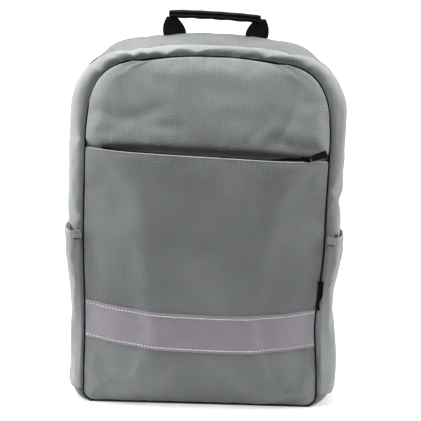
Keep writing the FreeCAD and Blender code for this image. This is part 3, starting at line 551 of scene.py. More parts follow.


# %% [markdown]
# ## Front gusset
# One strip of cloth runs from the boot up one side, over the top and down the other, and joins the front
# to the zip. It is a sheet lofted through the hoops. It settles with both edges held, so that it
# puckers along its seams as a real gusset does.

# %% Front gusset
def puckers(rows, amount, seed):
    """Small random outward waves along a gusset, stronger near its corners, before it settles."""
    source = np.random.default_rng(seed)
    length = np.linspace(0, 1, rows.shape[1])
    wave = sum(source.uniform(0.4, 1) * np.sin(2 * np.pi * (k * length + source.uniform()))
               for k in (9, 14, 23, 31))
    across = np.sin(np.linspace(0, np.pi, rows.shape[0])) ** 1.5
    middle = rows.mean(axis=(0, 1))
    outward = unit((rows - middle) * np.array([1, 0, 1]))
    return rows + outward * (amount * wave[None, :] * across[:, None])[:, :, None]


def gathers(rows, places):
    """Short folds pressed in beside the seam. places holds x, z, depth, width and how much each one leans."""
    out = rows.copy()
    middle = rows[len(rows) // 3]
    run = np.concatenate([[0], np.cumsum(np.linalg.norm(np.diff(middle, axis=0), axis=1))])
    inward = -unit((rows - np.array([0, 0, 200.0])) * np.array([0.8, 0, 1]))
    level = np.linspace(0, 1, len(rows))
    for x, z, depth, width, lean in places:
        centre = run[np.argmin(np.hypot(middle[:, 0] - x, middle[:, 2] - z))]
        beside = (run[None, :] - centre - lean * (level[:, None] - 0.3)) / width
        strength = depth * np.exp(-beside ** 2) * np.exp(-((level[:, None] - 0.3) / 0.22) ** 2)
        out += inward * strength[:, :, None]
    return out


GATHERS = [(-112, 372, 2.6, 3.5, 9), (-99, 384, 1.6, 3.0, -8), (-82, 392, 2.8, 3.5, 14),
           (-66, 394, 1.8, 3.0, 10), (-46, 396, 2.0, 6.0, 12), (-12, 397, 1.4, 8.0, 6),
           (62, 395, 1.6, 5.0, -9), (104, 380, 2.2, 4.0, -10), (121, 362, 2.0, 3.5, -8),
           (-139, 300, 1.4, 4.0, 6), (-139, 118, 2.6, 4.5, 12), (-139, 88, 2.2, 4.0, -10),
           (139, 122, 2.0, 4.0, -9), (139, 92, 2.8, 4.5, 10), (139, 250, 1.2, 5.0, 6),
           (-139, 214, 1.3, 5.0, 8)]
front_rows = np.array([hoop(row, counts=(9, 84, 34, 50)) for row in smooth_table(FRONT_ROLL, 3)])
front_gusset = sheet_of("front_gusset_wrap", gathers(puckers(front_rows, 0.25, 3), GATHERS),
                        [PAINTED_LIGHT_SHELL])
settle(front_gusset, edge_pins(*front_rows.shape[:2]), 0.016, 1.0, 2.0)
thicken(front_gusset, 1.6)
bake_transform(front_gusset)
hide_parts("front_gusset_left", "front_gusset_right", "front_gusset_top", "fold_fabric")
print("front gusset", len(front_gusset.data.vertices))

# %% [markdown]
# ## Rear gusset and side panels
# The rear strip has the same path behind the zip, and rolls in at the back seam. Below the zip's ends a
# narrow strip joins the two gussets, so that the sides are closed.

# %% Rear gusset and side strips
rear_rows = np.array([hoop(row) for row in smooth_table(REAR_ROLL, 3)])
rear_gusset = sheet_of("rear_gusset_wrap", puckers(rear_rows, 0.3, 5), [SHELL])
settle(rear_gusset, edge_pins(*rear_rows.shape[:2]), 0.010, 1.0, 2.0)
thicken(rear_gusset, 1.6)
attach(rear_gusset, "pack")
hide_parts("rear_gusset_left", "rear_gusset_right", "rear_gusset_top", "side_panel_left",
            "side_panel_right")
for side, word in ((-1, "left"), (1, "right")):
    z = np.linspace(BOOT, ZIP_END, 30)
    strip = np.array([[(taper(side * side_x(h, 146.8 - dip, 0.4, 22), h), y, h) for h in z]
                      for y, dip in ((-19.5, 1.0), (-17.5, 0.2), (-14.0, -0.5), (-10.5, 0.2), (-8.5, 1.0))])
    joiner = sheet_of("side_joining_strip_" + word, strip, [SHELL])
    thicken(joiner, 1.2)
    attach(joiner, "pack")

# %% [markdown]
# ## Front panel and pocket
# The front has two parts: a yoke above, and a pocket panel below whose upper edge is folded into a hem
# and stands open. Both bulge from the seam, steeply at first and then nearly flat, like a filled pillow.

# %% Pillowed surfaces
def seam_distance(x, z):
    """Distance inside the rounded seam, in millimetres."""
    middle = (SEAM_LOW + SEAM_HIGH) / 2
    r = np.where(z > middle, SEAM_TOP_R, SEAM_FOOT_R)
    dx, dz = np.abs(x) - (SEAM_HALF - r), np.abs(z - middle) - (SEAM_HIGH - middle - r)
    return r - np.hypot(np.maximum(dx, 0), np.maximum(dz, 0)) - np.minimum(np.maximum(dx, dz), 0)


def pillow(distance, height, run, power):
    return height * (1 - (1 - np.clip(distance / run, 0, 1)) ** power)


def pocket_y(x, z):
    return -60.0 - pillow(seam_distance(x, z), 24, 80, 2.5)


def yoke_y(x, z):
    return -60.0 - pillow(seam_distance(x, z), 11, 20, 2)


def mouth_z(x):
    return 289.0 - 9.0 * (x + 133) / 266


def seam_half(z):
    """Half the width inside the seam at a height."""
    low = np.clip(SEAM_LOW + SEAM_FOOT_R - z, 0, SEAM_FOOT_R)
    high = np.clip(z - (SEAM_HIGH - 6 - SEAM_TOP_R), 0, SEAM_TOP_R)
    r, over = np.where(z < 100, SEAM_FOOT_R, SEAM_TOP_R), np.where(z < 100, low, high)
    return SEAM_HALF - r + np.sqrt(r ** 2 - over ** 2)


# %% [markdown]
# Cloth that is pulled between two points lies in soft folds. Each fold is a shallow groove along a line
# between two points of the front, deepest in its middle, and fades out to both sides.

# %% Folds
def folds(x, z, lines):
    """How far a sheet stands back, in millimetres. lines holds x0, z0, x1, z1, depth and width."""
    total = np.zeros(np.broadcast(x, z).shape)
    for x0, z0, x1, z1, depth, width in lines:
        length = math.hypot(x1 - x0, z1 - z0)
        along = ((x - x0) * (x1 - x0) + (z - z0) * (z1 - z0)) / length ** 2
        beside = ((x - x0) * (z1 - z0) - (z - z0) * (x1 - x0)) / length
        fade = np.where((along > 0) & (along < 1), np.sin(np.pi * np.clip(along, 0, 1)), 0)
        total += depth * fade * np.exp(-(beside / width) ** 2)
    return total


PANEL_FOLDS = [(-126, 268, -60, 180, 1.8, 13), (124, 262, 70, 170, 1.5, 12), (-128, 70, -90, 20, 1.6, 7),
               (128, 60, 92, 18, 1.8, 7), (-40, 230, 10, 130, 1.0, 22), (60, 265, 20, 200, 1.1, 16),
               (-128, 200, -110, 120, 1.2, 7), (127, 190, 112, 105, 1.6, 7), (-70, 66, -30, 14, 1.0, 10),
               (40, 60, 84, 14, 1.2, 9)]
YOKE_FOLDS = [(-128, 340, -80, 319, 5.0, 8), (-100, 319, -40, 339, 5.0, 8), (-126, 312, -94, 309, 2.6, 4),
              (-78, 318, -16, 316, 3.2, 7), (-130, 285, -64, 279, 4.0, 8), (62, 309, 136, 287, 5.4, 8),
              (98, 341, 128, 353, 2.6, 6), (-34, 364, 62, 350, 2.6, 14), (-82, 374, -28, 360, 1.8, 8),
              (58, 341, 112, 317, 2.2, 8), (-126, 300, -102, 296, 1.4, 4), (6, 331, 74, 322, 2.2, 10)]


def press(piece, lines):
    """Presses folds into a settled sheet; they fade out beside the seam."""
    at = np.array([v.co for v in piece.data.vertices]) * 1000
    inside = np.clip(seam_distance(at[:, 0], at[:, 2]) / 7, 0, 1)
    at[:, 1] += folds(at[:, 0], at[:, 2], lines) * inside
    piece.data.vertices.foreach_set("co", (at * 0.001).astype(np.float32).ravel())
    piece.data.update()


# %% Pocket panel
heights = np.concatenate([np.linspace(SEAM_LOW + 0.2, 20, 9)[:-1], np.linspace(20, 284.5, 64)])
spans = np.linspace(-1, 1, 63)
panel_rows = []
for z in heights:
    x = spans * (seam_half(z) - 0.4)
    lift = np.clip((z - 200) / 84.5, 0, 1)
    level = z + lift * (mouth_z(x) - 284.5)
    panel_rows.append(np.stack([taper(x, level), pocket_y(x, level), level], axis=1))
edge = panel_rows[-1]
for turn in np.linspace(0, np.pi, 7)[1:]:
    panel_rows.append(edge + np.array([0, 1.7 * (1 - math.cos(turn)), 1.7 * math.sin(turn)]))
for down in (3.0, 6.5, 10.0):
    panel_rows.append(edge + np.array([0, 3.4, -down]))
panel_rows = np.array(panel_rows)
pocket_panel = sheet_of("pocket_panel_front", panel_rows, [SHELL])
pins = edge_pins(*panel_rows.shape[:2]).reshape(panel_rows.shape[:2])
pins[-10:] = 1.0
settle(pocket_panel, pins.ravel(), 0.012, 0.6, 3.5)
press(pocket_panel, PANEL_FOLDS)
surface = BVHTree.FromPolygons([v.co[:] for v in pocket_panel.data.vertices],
                               [tuple(p.vertices) for p in pocket_panel.data.polygons])
thicken(pocket_panel, 1.4)
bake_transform(pocket_panel)
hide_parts("pocket_panel_lower", "pocket_panel_upper")

# A pale strip laid on the pocket's folded edge is a painted highlight along the top of the fold.
fold_x = np.linspace(-129, 129, 90)
fold_line = np.stack([taper(fold_x, mouth_z(fold_x)), pocket_y(fold_x, mouth_z(fold_x)) + 1.5,
                      mouth_z(fold_x) + 1.2], axis=1)
fold_highlight = strap("pocket_fold_painted_highlight", fold_line, (0, 1, 0), 3.6, 1.5, [PAINTED_HIGHLIGHT_SHELL], power=2.4, count=12)
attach(fold_highlight, "front_lid")


def on_panel(x, z):
    """The panel's front face at x, z, in millimetres."""
    hit = surface.ray_cast(Vector((x * 0.001, -0.3, z * 0.001)), Vector((0, 1, 0)))[0]
    return hit.y * 1000 if hit is not None else float(pocket_y(np.array(x), np.array(z)))


# %% Yoke
yoke_rows = []
for b in np.linspace(0, 1, 30):
    z0 = 277.0 + b * (385.6 - 277.0)
    x = spans * (seam_half(z0) - 0.4)
    arch = 6.0 * (1 - np.clip(np.abs(x) / 71, 0, 1) ** 2) * b ** 6
    level = z0 + (1 - b) * (mouth_z(x) - 8.0 - 277.0) + arch
    under = np.clip((mouth_z(x) + 11.0 - level) / 9.0, 0, 1)
    tuck = 6.5 * under * under * (3 - 2 * under)
    yoke_rows.append(np.stack([taper(x, level), yoke_y(x, level) + tuck, level], axis=1))
yoke_rows = np.array(yoke_rows)
# The yoke gets the paler shell: painted light that makes it read brighter than the pocket below.
yoke = sheet_of("lid_yoke", yoke_rows, [PAINTED_LIGHT_SHELL])
pins = edge_pins(*yoke_rows.shape[:2]).reshape(yoke_rows.shape[:2])
pins[:6] = 1.0
settle(yoke, pins.ravel(), 0.016, 0.5, 3.0)
press(yoke, YOKE_FOLDS)
thicken(yoke, 1.2)
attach(yoke, "front_lid")
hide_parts("front_yoke")

# %% [markdown]
# ## Pocket lining
# Behind the panel hangs the pocket's rear wall, which shows only as darkness in the mouth.

# %% Pocket lining
lining_rows = []
for z in np.linspace(62, 300, 40):
    x = spans[::2] * (seam_half(np.minimum(z, 284)) - 12)
    level = z + np.clip((z - 200) / 100, 0, 1) * (mouth_z(x) - 284.5)
    near, far = pocket_y(x, level) + 4.5, yoke_y(x, level) + 9
    gap = np.maximum(3.4, far - near + 3.4) * np.clip((level - 64) / 26, 0, 1)
    lining_rows.append(np.stack([x, near + gap + 0.6, level], axis=1))
pocket_back = sheet_of("pocket_lining", np.array(lining_rows), [LINING])
thicken(pocket_back, 1.0, lined=False)
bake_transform(pocket_back)
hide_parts("pocket_back_lower", "pocket_back_upper")

# %% [markdown]
# ## Seam binding
# Where the front meets the gusset, both are sewn to a dark tape, which shows as a thin line in the groove.
# The tape is partly real and partly painted shade: it also stands for the shade deep in the groove.

# %% Seam binding
def seam_ring(inset, y):
    """Points round the whole front seam."""
    half, low, high = SEAM_HALF - inset, SEAM_LOW + inset, SEAM_HIGH - 6 - inset
    top, corner = SEAM_TOP_R - inset, SEAM_FOOT_R - inset
    up = hoop((y, half, low, high + 6, top, corner), start=low + corner, counts=(8, 50, 18, 30))
    angle = np.linspace(0, -np.pi / 2, 9)[1:]
    right = np.stack([half - corner + corner * np.cos(angle), np.full(8, y),
                      low + corner + corner * np.sin(angle)], axis=1)
    bottom_x = np.linspace(half - corner, -half + corner, 40)[1:]
    bottom = np.stack([bottom_x, np.full(39, y), np.full(39, low)], axis=1)
    angle = np.linspace(-np.pi / 2, -np.pi, 9)[1:-1]
    left = np.stack([-half + corner + corner * np.cos(angle), np.full(7, y),
                     low + corner + corner * np.sin(angle)], axis=1)
    ring = np.vstack([right, bottom, left])
    ring[:, 0] = taper(ring[:, 0], ring[:, 2])
    return np.vstack([up, ring])


# The dark tape also stands for painted shade in the seam's groove.
binding = strap("seam_binding", seam_ring(0.2, -59.4), (0, 1, 0), 3.2, 2.2, [BINDING], power=2.4, count=8,
                closed=True)
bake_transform(binding)

# %% [markdown]
# ## Leather band
# A strip of coated leather is sewn across the pocket with two rows of white lockstitch. It follows the
# settled panel, found by casting rays on it, and its edges turn down. The stitches are small beads.

# %% Leather band
def band_top(x):
    t = (x + 132) / 264
    return 120 * (1 - t) * (1 - 2 * t) + 4 * 112 * t * (1 - t) + 115 * t * (2 * t - 1)


BAND_HIGH = 43.0
band_x = np.linspace(-132, 132, 89)
profile = [(-0.9, 0.0), (0.2, 0.0), (1.2, 0.35), (1.5, 1.0), (1.2, 2.5)] + [(1.25, v) for v in
                                                                           (6, 12, 18, 24, 30, 37)]
profile += [(1.2, BAND_HIGH - 2.5), (1.5, BAND_HIGH - 1.0), (1.2, BAND_HIGH - 0.35), (0.2, BAND_HIGH),
            (-0.9, BAND_HIGH)]
band_rows = []
for out, down in profile[::-1]:
    band_rows.append([(taper(x, band_top(x) - down), on_panel(taper(x, 100), band_top(x) - down) - out,
                       band_top(x) - down) for x in band_x])
band = sheet_of("leather_band", np.array(band_rows), [BAND])
thicken(band, 0.8, lined=False)
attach(band, "pack")
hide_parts("accent_band")
stitch_places = []
for down in (3.4, BAND_HIGH - 3.4):
    for x in np.arange(-129.5, 130, 3.7):
        z = float(band_top(x)) - down
        stitch_places.append((taper(x, z), on_panel(taper(x, z), z) - 1.35, z))
stitches = beads("band_stitches", stitch_places, (1, 0, 0), (0, -1, 0), (2.9, 0.95, 0.7), [THREAD])
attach(stitches, "pack")
print("band stitches", len(stitch_places))

# %% [markdown]
# ## Boot
# The foot of the bag is one piece of cloth that comes up 16 mm all round, with a turned seam.

# %% Boot
boot_rows = []
for row in np.vstack([smooth_table(FRONT_ROLL[:6], 2), smooth_table(REAR_ROLL[2:], 2)]):
    y, half, low, high, top, corner = row
    turn = np.linspace(math.acos(min(1.0, (low + corner - BOOT) / corner)), 0, 12)
    x = np.concatenate([[half - corner + corner * math.sin(turn[0]) - 2.0],
                        half - corner + corner * np.sin(turn) + 0.5])
    z = np.concatenate([[BOOT + 1.5], low + corner - corner * np.cos(turn)])
    middle = np.linspace(half - corner, -(half - corner), 24)[1:-1]
    x = np.concatenate([-x, -middle, x[::-1]])
    z = np.concatenate([z, np.full(22, low), z[::-1]])
    boot_rows.append(np.stack([taper(x, z), np.full_like(x, y), np.maximum(z, 0.0)], axis=1))
boot = sheet_of("base_boot", np.array(boot_rows), [SHELL])
thicken(boot, 1.4)
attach(boot, "pack")
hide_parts("base_panel")

# %% [markdown]
# ## Side pockets
# Each is a puffed sheet with a gathered mouth. A hem about 9 mm high is folded over elastic, and a row
# of stitches runs below it. A dark strip of lining behind the mouth stands for the pocket's inside and,
# partly, for painted shade in the gap between the pocket and the gusset.

# %% Side pockets
POCKET_TOP, HEM_HIGH = 198.0, 9.0


def body_half(y):
    keys = [(-62.5, 134.5), (-61.5, 140.5), (-59.5, 145.5), (-54, 149.5), (-44, 151.4), (-28, 151.6),
            (-10, 150.2), (22, 150.5), (60, 142)]
    return np.interp(y, [k[0] for k in keys], [k[1] for k in keys])


def pocket_wall(side, y, z, extra=0.0):
    t = np.clip(np.abs(y + 1) / 58.5, 0, 1)
    lift = np.clip((z - BOOT) / (POCKET_TOP - BOOT), 0, 1)
    heavy = 1.6 * np.exp(-((z - 84) / 62) ** 2) if side > 0 else 0.0
    x = side_x(z, body_half(y), 0.4, 22) + 0.8 + heavy + 3.8 * (1 - t ** 3) * lift ** 3 + extra
    forward = 5.5 * lift ** 3 * np.exp(-((y + 60) / 9) ** 2) * np.clip((y + 62.2) / 1.6, 0, 1)
    return np.stack(np.broadcast_arrays(taper(side * x, z), y - forward, z), axis=-1)


for side, word in ((-1, "left"), (1, "right")):
    ys = np.concatenate([[-62.2, -61.6, -60.6, -59.2, -57.0], np.linspace(-54.0, 57.5, 32)])
    zs = np.linspace(BOOT, POCKET_TOP - HEM_HIGH, 48)
    wall = np.array([pocket_wall(side, ys, np.full_like(ys, z)) for z in zs])
    wall[:, 0] -= np.array([side * 0.4, 0, 0])
    wall[:, -1] -= np.array([side * 2.4, 0, 0])
    rolls = 0.6 * np.sin(ys / 5.3 + side) * np.clip((zs[:, None] - 110) / 70, 0, 1)
    pleat_y = -24 - (186 - zs[:, None]) * 0.9
    rolls = rolls + 2.2 * np.exp(-((ys - pleat_y) / 3.2) ** 2) * np.clip((zs[:, None] - 140) / 20, 0, 1)
    second_y = -30 + (120 - zs[:, None]) * 0.35
    rolls = rolls - 1.6 * np.exp(-((ys - second_y) / 5) ** 2) * np.exp(-((zs[:, None] - 90) / 45) ** 2)
    wall[:, :, 0] += side * rolls
    pocket = sheet_of("side_pocket_wall_" + word, wall, [PAINTED_LIGHT_SHELL])
    settle(pocket, edge_pins(*wall.shape[:2]), 0.016, 0.6, 2.2)
    thicken(pocket, 1.2)
    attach(pocket, "pack")
    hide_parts("side_pocket_" + word)
    # The dark lining strip is partly the pocket's inside and partly painted shade in the gap behind the rim.
    lining_rows = []
    for drop in np.linspace(14, 0, 7):
        level = 203.0 - 6.0 * np.exp(-((ys + 61) / 6) ** 2) - drop
        near = np.interp(ys, [-61.2, -60.4, -55, -46, -37, -28, 57],
                         [137.6, 141.4, 145.4, 148.4, 150.4, 151.2, 142])
        lining_rows.append(np.stack([taper(side * (near + 1.5), level), ys - 1.4, level], axis=1))
    lining = sheet_of("side_pocket_lining_and_shade_" + word, np.array(lining_rows)[:, 3:24], [LINING])
    thicken(lining, 0.4, lined=False)
    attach(lining, "pack")
    hem_rows = []
    for out, drop in ((-0.9, 10.5), (0.5, 9.8), (1.0, 8), (1.1, 5), (0.9, 2), (0.2, 0.2),
                      (-0.9, -0.2), (-1.7, 0.6), (-1.9, 4), (-1.9, 8)):
        points = pocket_wall(side, ys, np.full_like(ys, POCKET_TOP - drop), out)
        points[:, 0] += side * 0.35 * np.sin(ys / 2.6)
        points[0, 0] -= side * 0.4
        points[-1, 0] -= side * 1.6
        hem_rows.append(points)
    hem = sheet_of("side_pocket_rim_" + word, np.array(hem_rows), [PAINTED_LIGHT_SHELL])
    thicken(hem, 0.8, lined=False)
    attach(hem, "pack")
    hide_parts("side_pocket_hem_" + word)
    row_y = np.arange(-56, 56, 3.4)
    row_at = pocket_wall(side, row_y, np.full_like(row_y, POCKET_TOP - 7.4), 1.15)
    row = beads("side_pocket_stitches_" + word, row_at, (0, 1, 0), (side, 0, 0), (2.5, 0.8, 0.5),
                [GREY_THREAD])
    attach(row, "pack")

# %% [markdown]
# ## Main zip
# Two knitted tapes with a nylon coil each run over the top. The teeth are modelled one by one, larger
# than on a fine zip, because a size 8 coil has a pitch of about 2 mm.

# %% Main zip
def zip_line(y, half, from_z):
    points = hoop((y, half, 0.4, 396.4 - (147 - half), 45, 30), start=from_z, counts=(2, 120, 70, 80))
    return points[points[:, 2] >= from_z]


def evenly(points, pitch):
    run = np.concatenate([[0], np.cumsum(np.linalg.norm(np.diff(points, axis=0), axis=1))])
    at = np.arange(pitch / 2, run[-1], pitch)
    return np.stack([np.interp(at, run, points[:, k]) for k in range(3)], axis=1)


def outwards(points):
    ahead = unit(np.gradient(points, axis=0))
    return ahead, unit(np.cross(ahead, np.array([0.0, 1.0, 0.0])))


for y, edge_y, word, body in ((-12.9, -10.2, "rear", "pack"), (-15.1, -17.8, "front", None)):
    tape_line = evenly(zip_line((y + edge_y) / 2, 145.9, ZIP_END), 4.0)
    tape = strap("main_zip_tape_cloth_" + word, tape_line, (0, 1, 0), abs(y - edge_y) + 3.4, 0.8, [TAPE],
                 count=8)
    tooth_line = evenly(zip_line(y, 146.4, ZIP_END), 2.0)
    ahead, out = outwards(tooth_line)
    teeth = beads("main_zip_teeth_" + word, tooth_line, np.array([0, 1.0, 0]), -out, (2.6, 1.35, 1.5), [COIL],
                  lean=0.15)
    for piece, node, slot in ((tape, "main_zip_tape_", "zip_tape"), (teeth, "main_zip_coil_", "zip_coil")):
        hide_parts(node + word)
        if body:
            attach(piece, body)
        else:
            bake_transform(piece)
for side, word in ((-1, "left"), (1, "right")):
    x = float(taper(147.4, 195)) * side
    places = [(x, -18 + 8 * k / 6, 195.6 + 0.6 * (k % 2)) for k in range(7)]
    tack = beads("bartack_" + word, places, (0, 0, 1), (side, 0, 0), (3.6, 1.25, 1.1), [GREY_THREAD])
    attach(tack, "pack")
    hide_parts("zip_bartack_" + word)

# %% [markdown]
# ## Pocket zip
# The chain lies in the mouth of the pocket. It bows forward with the panel in the middle and lies on the
# yoke at both ends.

# %% Pocket zip
def chain_face(x, z):
    shut = yoke_y(x, z) + 1.0
    part = np.clip(np.minimum(x + 114, 100 - x) / 34, 0, 1)
    part = part * part * (3 - 2 * part)
    return shut + (pocket_y(x, z) + 2 + 2.8 - shut) * part


for offset, way, word in ((4.75, 1, "upper"), (2.05, -1, "lower")):
    x = np.linspace(-113, 113, 100)
    middle = np.clip(np.minimum(x + 118, 92 - x) / 26, 0, 1)
    z = mouth_z(x) + offset - 2.2 * middle
    line = np.stack([x, chain_face(x, z), z], axis=1)
    places = evenly(line, 1.9)
    teeth = beads("pocket_zip_teeth_" + word, places, (0, 0.0, 1), (0, -1, 0), (2.0, 1.25, 1.3), [COIL],
                  lean=0.15)
    back = np.stack([x, chain_face(x, z) + (2.2 if way < 0 else 1.2), z - 4.2], axis=1)
    tape = strap("pocket_zip_tape_cloth_" + word, back, (0, 0, 1), 8.0, 0.7, [TAPE], count=8)
    for piece, node, slot in ((tape, "pocket_zip_tape_", "zip_tape"), (teeth, "pocket_zip_coil_", "zip_coil")):
        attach(piece, "front_lid")
        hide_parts(node + word)

# %% [markdown]
# ## Handle
# The legs are webbing sewn flat to the top and folded where they enter the grip. The grip is a strip of
# coated cloth wrapped round them, with a lengthwise crease where its edges meet.

# %% Handle legs and grip
HANDLE_X, HANDLE_Y = 7.0, 50.0
GRIP_SECTIONS, GRIP_ROUND = 45, 32
for side, word in ((-1, "left"), (1, "right")):
    foot = HANDLE_X + side * 47
    tip = HANDLE_X + side * 51
    t = np.linspace(0, 1, 14)
    line = np.stack([foot + (tip - foot) * t ** 1.4, HANDLE_Y + 0.8 * np.sin(3 * t),
                     405.0 + 21.5 * t], axis=1)
    leg = strap("handle_leg_" + word, line, (1, 0, 0), 25 + 2.5 * np.sin(np.pi * t ** 0.7) - 13 * t ** 2.2,
                2.2 + 4.2 * t ** 1.2, [WEBBING], power=4.0, count=24, upright=True)
    if word == "left":
        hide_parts("handle_webbing")
    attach(leg, "handle")
t = np.linspace(-1, 1, GRIP_SECTIONS)
line = np.stack([HANDLE_X - 1.5 + 53.0 * t, HANDLE_Y + 0 * t, 428.4 + 1.2 * (1 - t ** 2) - 1.8 * t], axis=1)
grip = strap("handle_wrap", line, (0, 1, 0), 11.5 - 1.6 * np.abs(t) ** 8, 9.6 - 1.4 * np.abs(t) ** 8, [GRIP],
             power=3.2, count=GRIP_ROUND)
# The crease is a row of points pushed in on the front, and the lower side waves a little.
ring = np.array([v.co for v in grip.data.vertices]).reshape(GRIP_SECTIONS, GRIP_ROUND, 3)
rel = ring - ring.mean(axis=1, keepdims=True)
front = (rel[:, :, 1] < -0.0035) & (np.abs(rel[:, :, 2] + 0.0004) < 0.0012)
ring[:, :, 1] += np.where(front, 0.0017, 0)
wave = 0.00035 * np.sin(np.linspace(0, 31, GRIP_SECTIONS))[:, None]
ring[:, :, 2] += np.where(rel[:, :, 2] < 0, wave, -0.4 * wave)
grip.data.vertices.foreach_set("co", ring.astype(np.float32).ravel())
grip.modifiers.new("smooth", "SUBSURF").levels = 1
bake(grip)
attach(grip, "handle")
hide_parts("handle_grip")
foot_places = [(HANDLE_X + s * 47 + dx, HANDLE_Y + dy, 408.6 - 6.0 * ((s * 47 + dx + 7) / 76) ** 2)
               for s in (-1, 1) for dx in np.arange(-10, 11, 2.5) for dy in (-2.2, 2.2)]
feet = beads("handle_sewn_feet", foot_places, (1, 0, 0), (0, 0, 1), (2.2, 1.0, 1.0), [WEBBING])
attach(feet, "pack")
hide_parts("handle_feet")

# %% [markdown]
# ## Side tab
# A small folded tape is caught in the seam. It is left plain.

# %% Side tab
low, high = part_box("side_label")
z = np.linspace(low.z * 1000, high.z * 1000, 8)
line = np.stack([np.full(8, 130.6), np.full(8, -60.8) + 0.5 * np.sin(z / 9), z], axis=1)
tab = strap("seam_tab", line, (1, 0.25, 0), 6.4, 1.5, [TAPE], power=4)
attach(tab, "pack")
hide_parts("side_label")

# %% [markdown]
# ## Back
# The back is spacer mesh over foam: a flat panel with a binding round it, two long pads, and a pad for
# the lower back. A pad is a closed, crowned form, swollen by pressure in a short simulation.

# %% Back panel
def pad(name, left, right, bottom, top, near, far, corner, cap):
    """A crowned cushion between two planes: a rounded rectangle of rings that shrink towards its face."""
    count, turn = 72, np.linspace(0, 2 * np.pi, 72, endpoint=False)
    cx, cz, hx, hz = (left + right) / 2, (bottom + top) / 2, (right - left) / 2, (top - bottom) / 2
    cos, sin = np.cos(turn), np.sin(turn)
    power = 0.28 if corner < 20 else 0.45
    ux, uz = np.sign(cos) * np.abs(cos) ** power, np.sign(sin) * np.abs(sin) ** power
    rows = []
    for shrink, depth in ((0.02, 0.0), (0.4, 0.0), (0.8, 0.0), (0.97, 0.0), (1.0, 0.25), (0.985, 0.62),
                          (0.93, 0.86), (0.8, 0.97), (0.6, 1.0), (0.4, 1.02), (0.2, 1.03), (0.02, 1.03)):
        inset = (1 - shrink) * min(hx, hz)
        rx, rz = max(hx - inset, hx * 0.02), max(hz - inset, hz * 0.02)
        rows.append(np.stack([cx + rx * ux, np.full(count, near + (far - near) * depth), cz + rz * uz], axis=1))
    rows = np.array(rows)
    faces = [(i * count + j, i * count + (j + 1) % count, (i + 1) * count + (j + 1) % count,
              (i + 1) * count + j) for i in range(len(rows) - 1) for j in range(count)]
    faces.append(tuple(range(count))[::-1])
    faces.append(tuple((len(rows) - 1) * count + j for j in range(count)))
    made = mesh_object(name, rows.reshape(-1, 3), faces, rows.reshape(-1, 3)[:, [0, 2]], [MESH])
    remesh = made.modifiers.new("even", "REMESH")
    remesh.mode, remesh.voxel_size = "VOXEL", 0.005
    bake(made)
    points = np.array([v.co for v in made.data.vertices])
    back = (points[:, 1] < (near + 1.2) * 0.001).astype(float)
    settle(made, back, 0.0, 4.0, cap)
    smooth = made.modifiers.new("smooth", "SUBSURF")
    smooth.levels = smooth.render_levels = 1
    bake(made)
    if not made.data.uv_layers:
        made.data.uv_layers.new(name="cloth")
    corner_of = np.empty(len(made.data.loops), int)
    made.data.loops.foreach_get("vertex_index", corner_of)
    flat = np.array([v.co for v in made.data.vertices])[:, [0, 2]]
    made.data.uv_layers[0].name = "cloth"
    made.data.uv_layers[0].data.foreach_set("uv", flat[corner_of].astype(np.float32).ravel())
    if not made.data.materials:
        made.data.materials.append(MESH)
    return made


pads = [("back_pad_mesh_left", -118, -14, 112, 352, "back_pad_left"),
        ("back_pad_mesh_right", 14, 118, 112, 352, "back_pad_right"),
        ("lumbar_pad_mesh", -100, 100, 26, 98, "lumbar_pad")]
for name, left, right, bottom, top, node in pads:
    cushion = pad(name, left, right, bottom, top, 64.4, 72.4, 18, 5.0)
    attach(cushion, "pack")
    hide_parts(node)

back_rows = []
for s in np.linspace(0, 1, 40):
    z0 = 3.5 + s * (401.6 - 3.5)
    low, high = np.clip(30 - z0, 0, 27), np.clip(z0 - 333, 0, 69)
    half = (115 + np.sqrt(27 ** 2 - low ** 2)) if z0 < 100 else 73 + np.sqrt(max(69 ** 2 - high ** 2, 0))
    x = np.linspace(-1, 1, 41) * (half - 1.5)
    z = z0 + s ** 8 * 6 * (1 - np.clip(np.abs(x) / 73, 0, 1) ** 2)
    edge_near = np.minimum(np.minimum((1 - np.abs(np.linspace(-1, 1, 41))) * half, z0 - 2), 405 - z0)
    y = 60.6 + 3.4 * (1 - np.exp(-np.maximum(edge_near, 0) / 8))
    back_rows.append(np.stack([taper(x, z), y, z], axis=1))
back = sheet_of("back_panel_mesh", np.array(back_rows), [MESH])
thicken(back, 2.4)
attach(back, "pack")
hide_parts("back_panel")


edge_line = seam_ring(0, 60.4)
edge_line = np.stack([edge_line[:, 0] * 141.0 / 133.0, edge_line[:, 1],
                      3.0 + (edge_line[:, 2] - 4) * 403.2 / 388.0], axis=1)
back_binding = strap("back_binding", edge_line, (0, 1, 0), 6.0, 3.0, [BINDING], power=2.6, count=10,
                     closed=True)
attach(back_binding, "pack")

# %% [markdown]
# ## Harness
# The straps leave a reinforced patch below the handle and curve down to their ladder locks. Each is a
# foam strap faced with mesh and bound at its edges, so its section is a flat crowned band.

# %% Harness patch
patch_rows = []
for z in np.linspace(369, 397, 9):
    x = np.linspace(-89, 89, 41)
    y = 66.2 + 1.6 * np.cos(x / 89 * 1.4) + 0 * x
    patch_rows.append(np.stack([x, y, np.full_like(x, z) - 0.0008 * x ** 2], axis=1))
patch = sheet_of("harness_patch", np.array(patch_rows), [SHELL])
thicken(patch, 2.2, lined=False)
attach(patch, "pack")
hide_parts("harness_yoke")

# %% Shoulder straps, locks and webbing
def strap_line(t):
    return np.stack([46 + 50 * (t * t * (3 - 2 * t)),
                     80.1 + 8 * t + 17 * np.sin(np.pi * np.minimum(1, 1.05 * t)) ** 0.9, 378 - 238 * t], axis=-1)


def loft(a, b, sag, count=24, axis=(0, 1, 0)):
    t = np.linspace(0, 1, count)[:, None]
    return np.array(a) * (1 - t) + np.array(b) * t + np.array(axis) * sag * np.sin(np.pi * t)


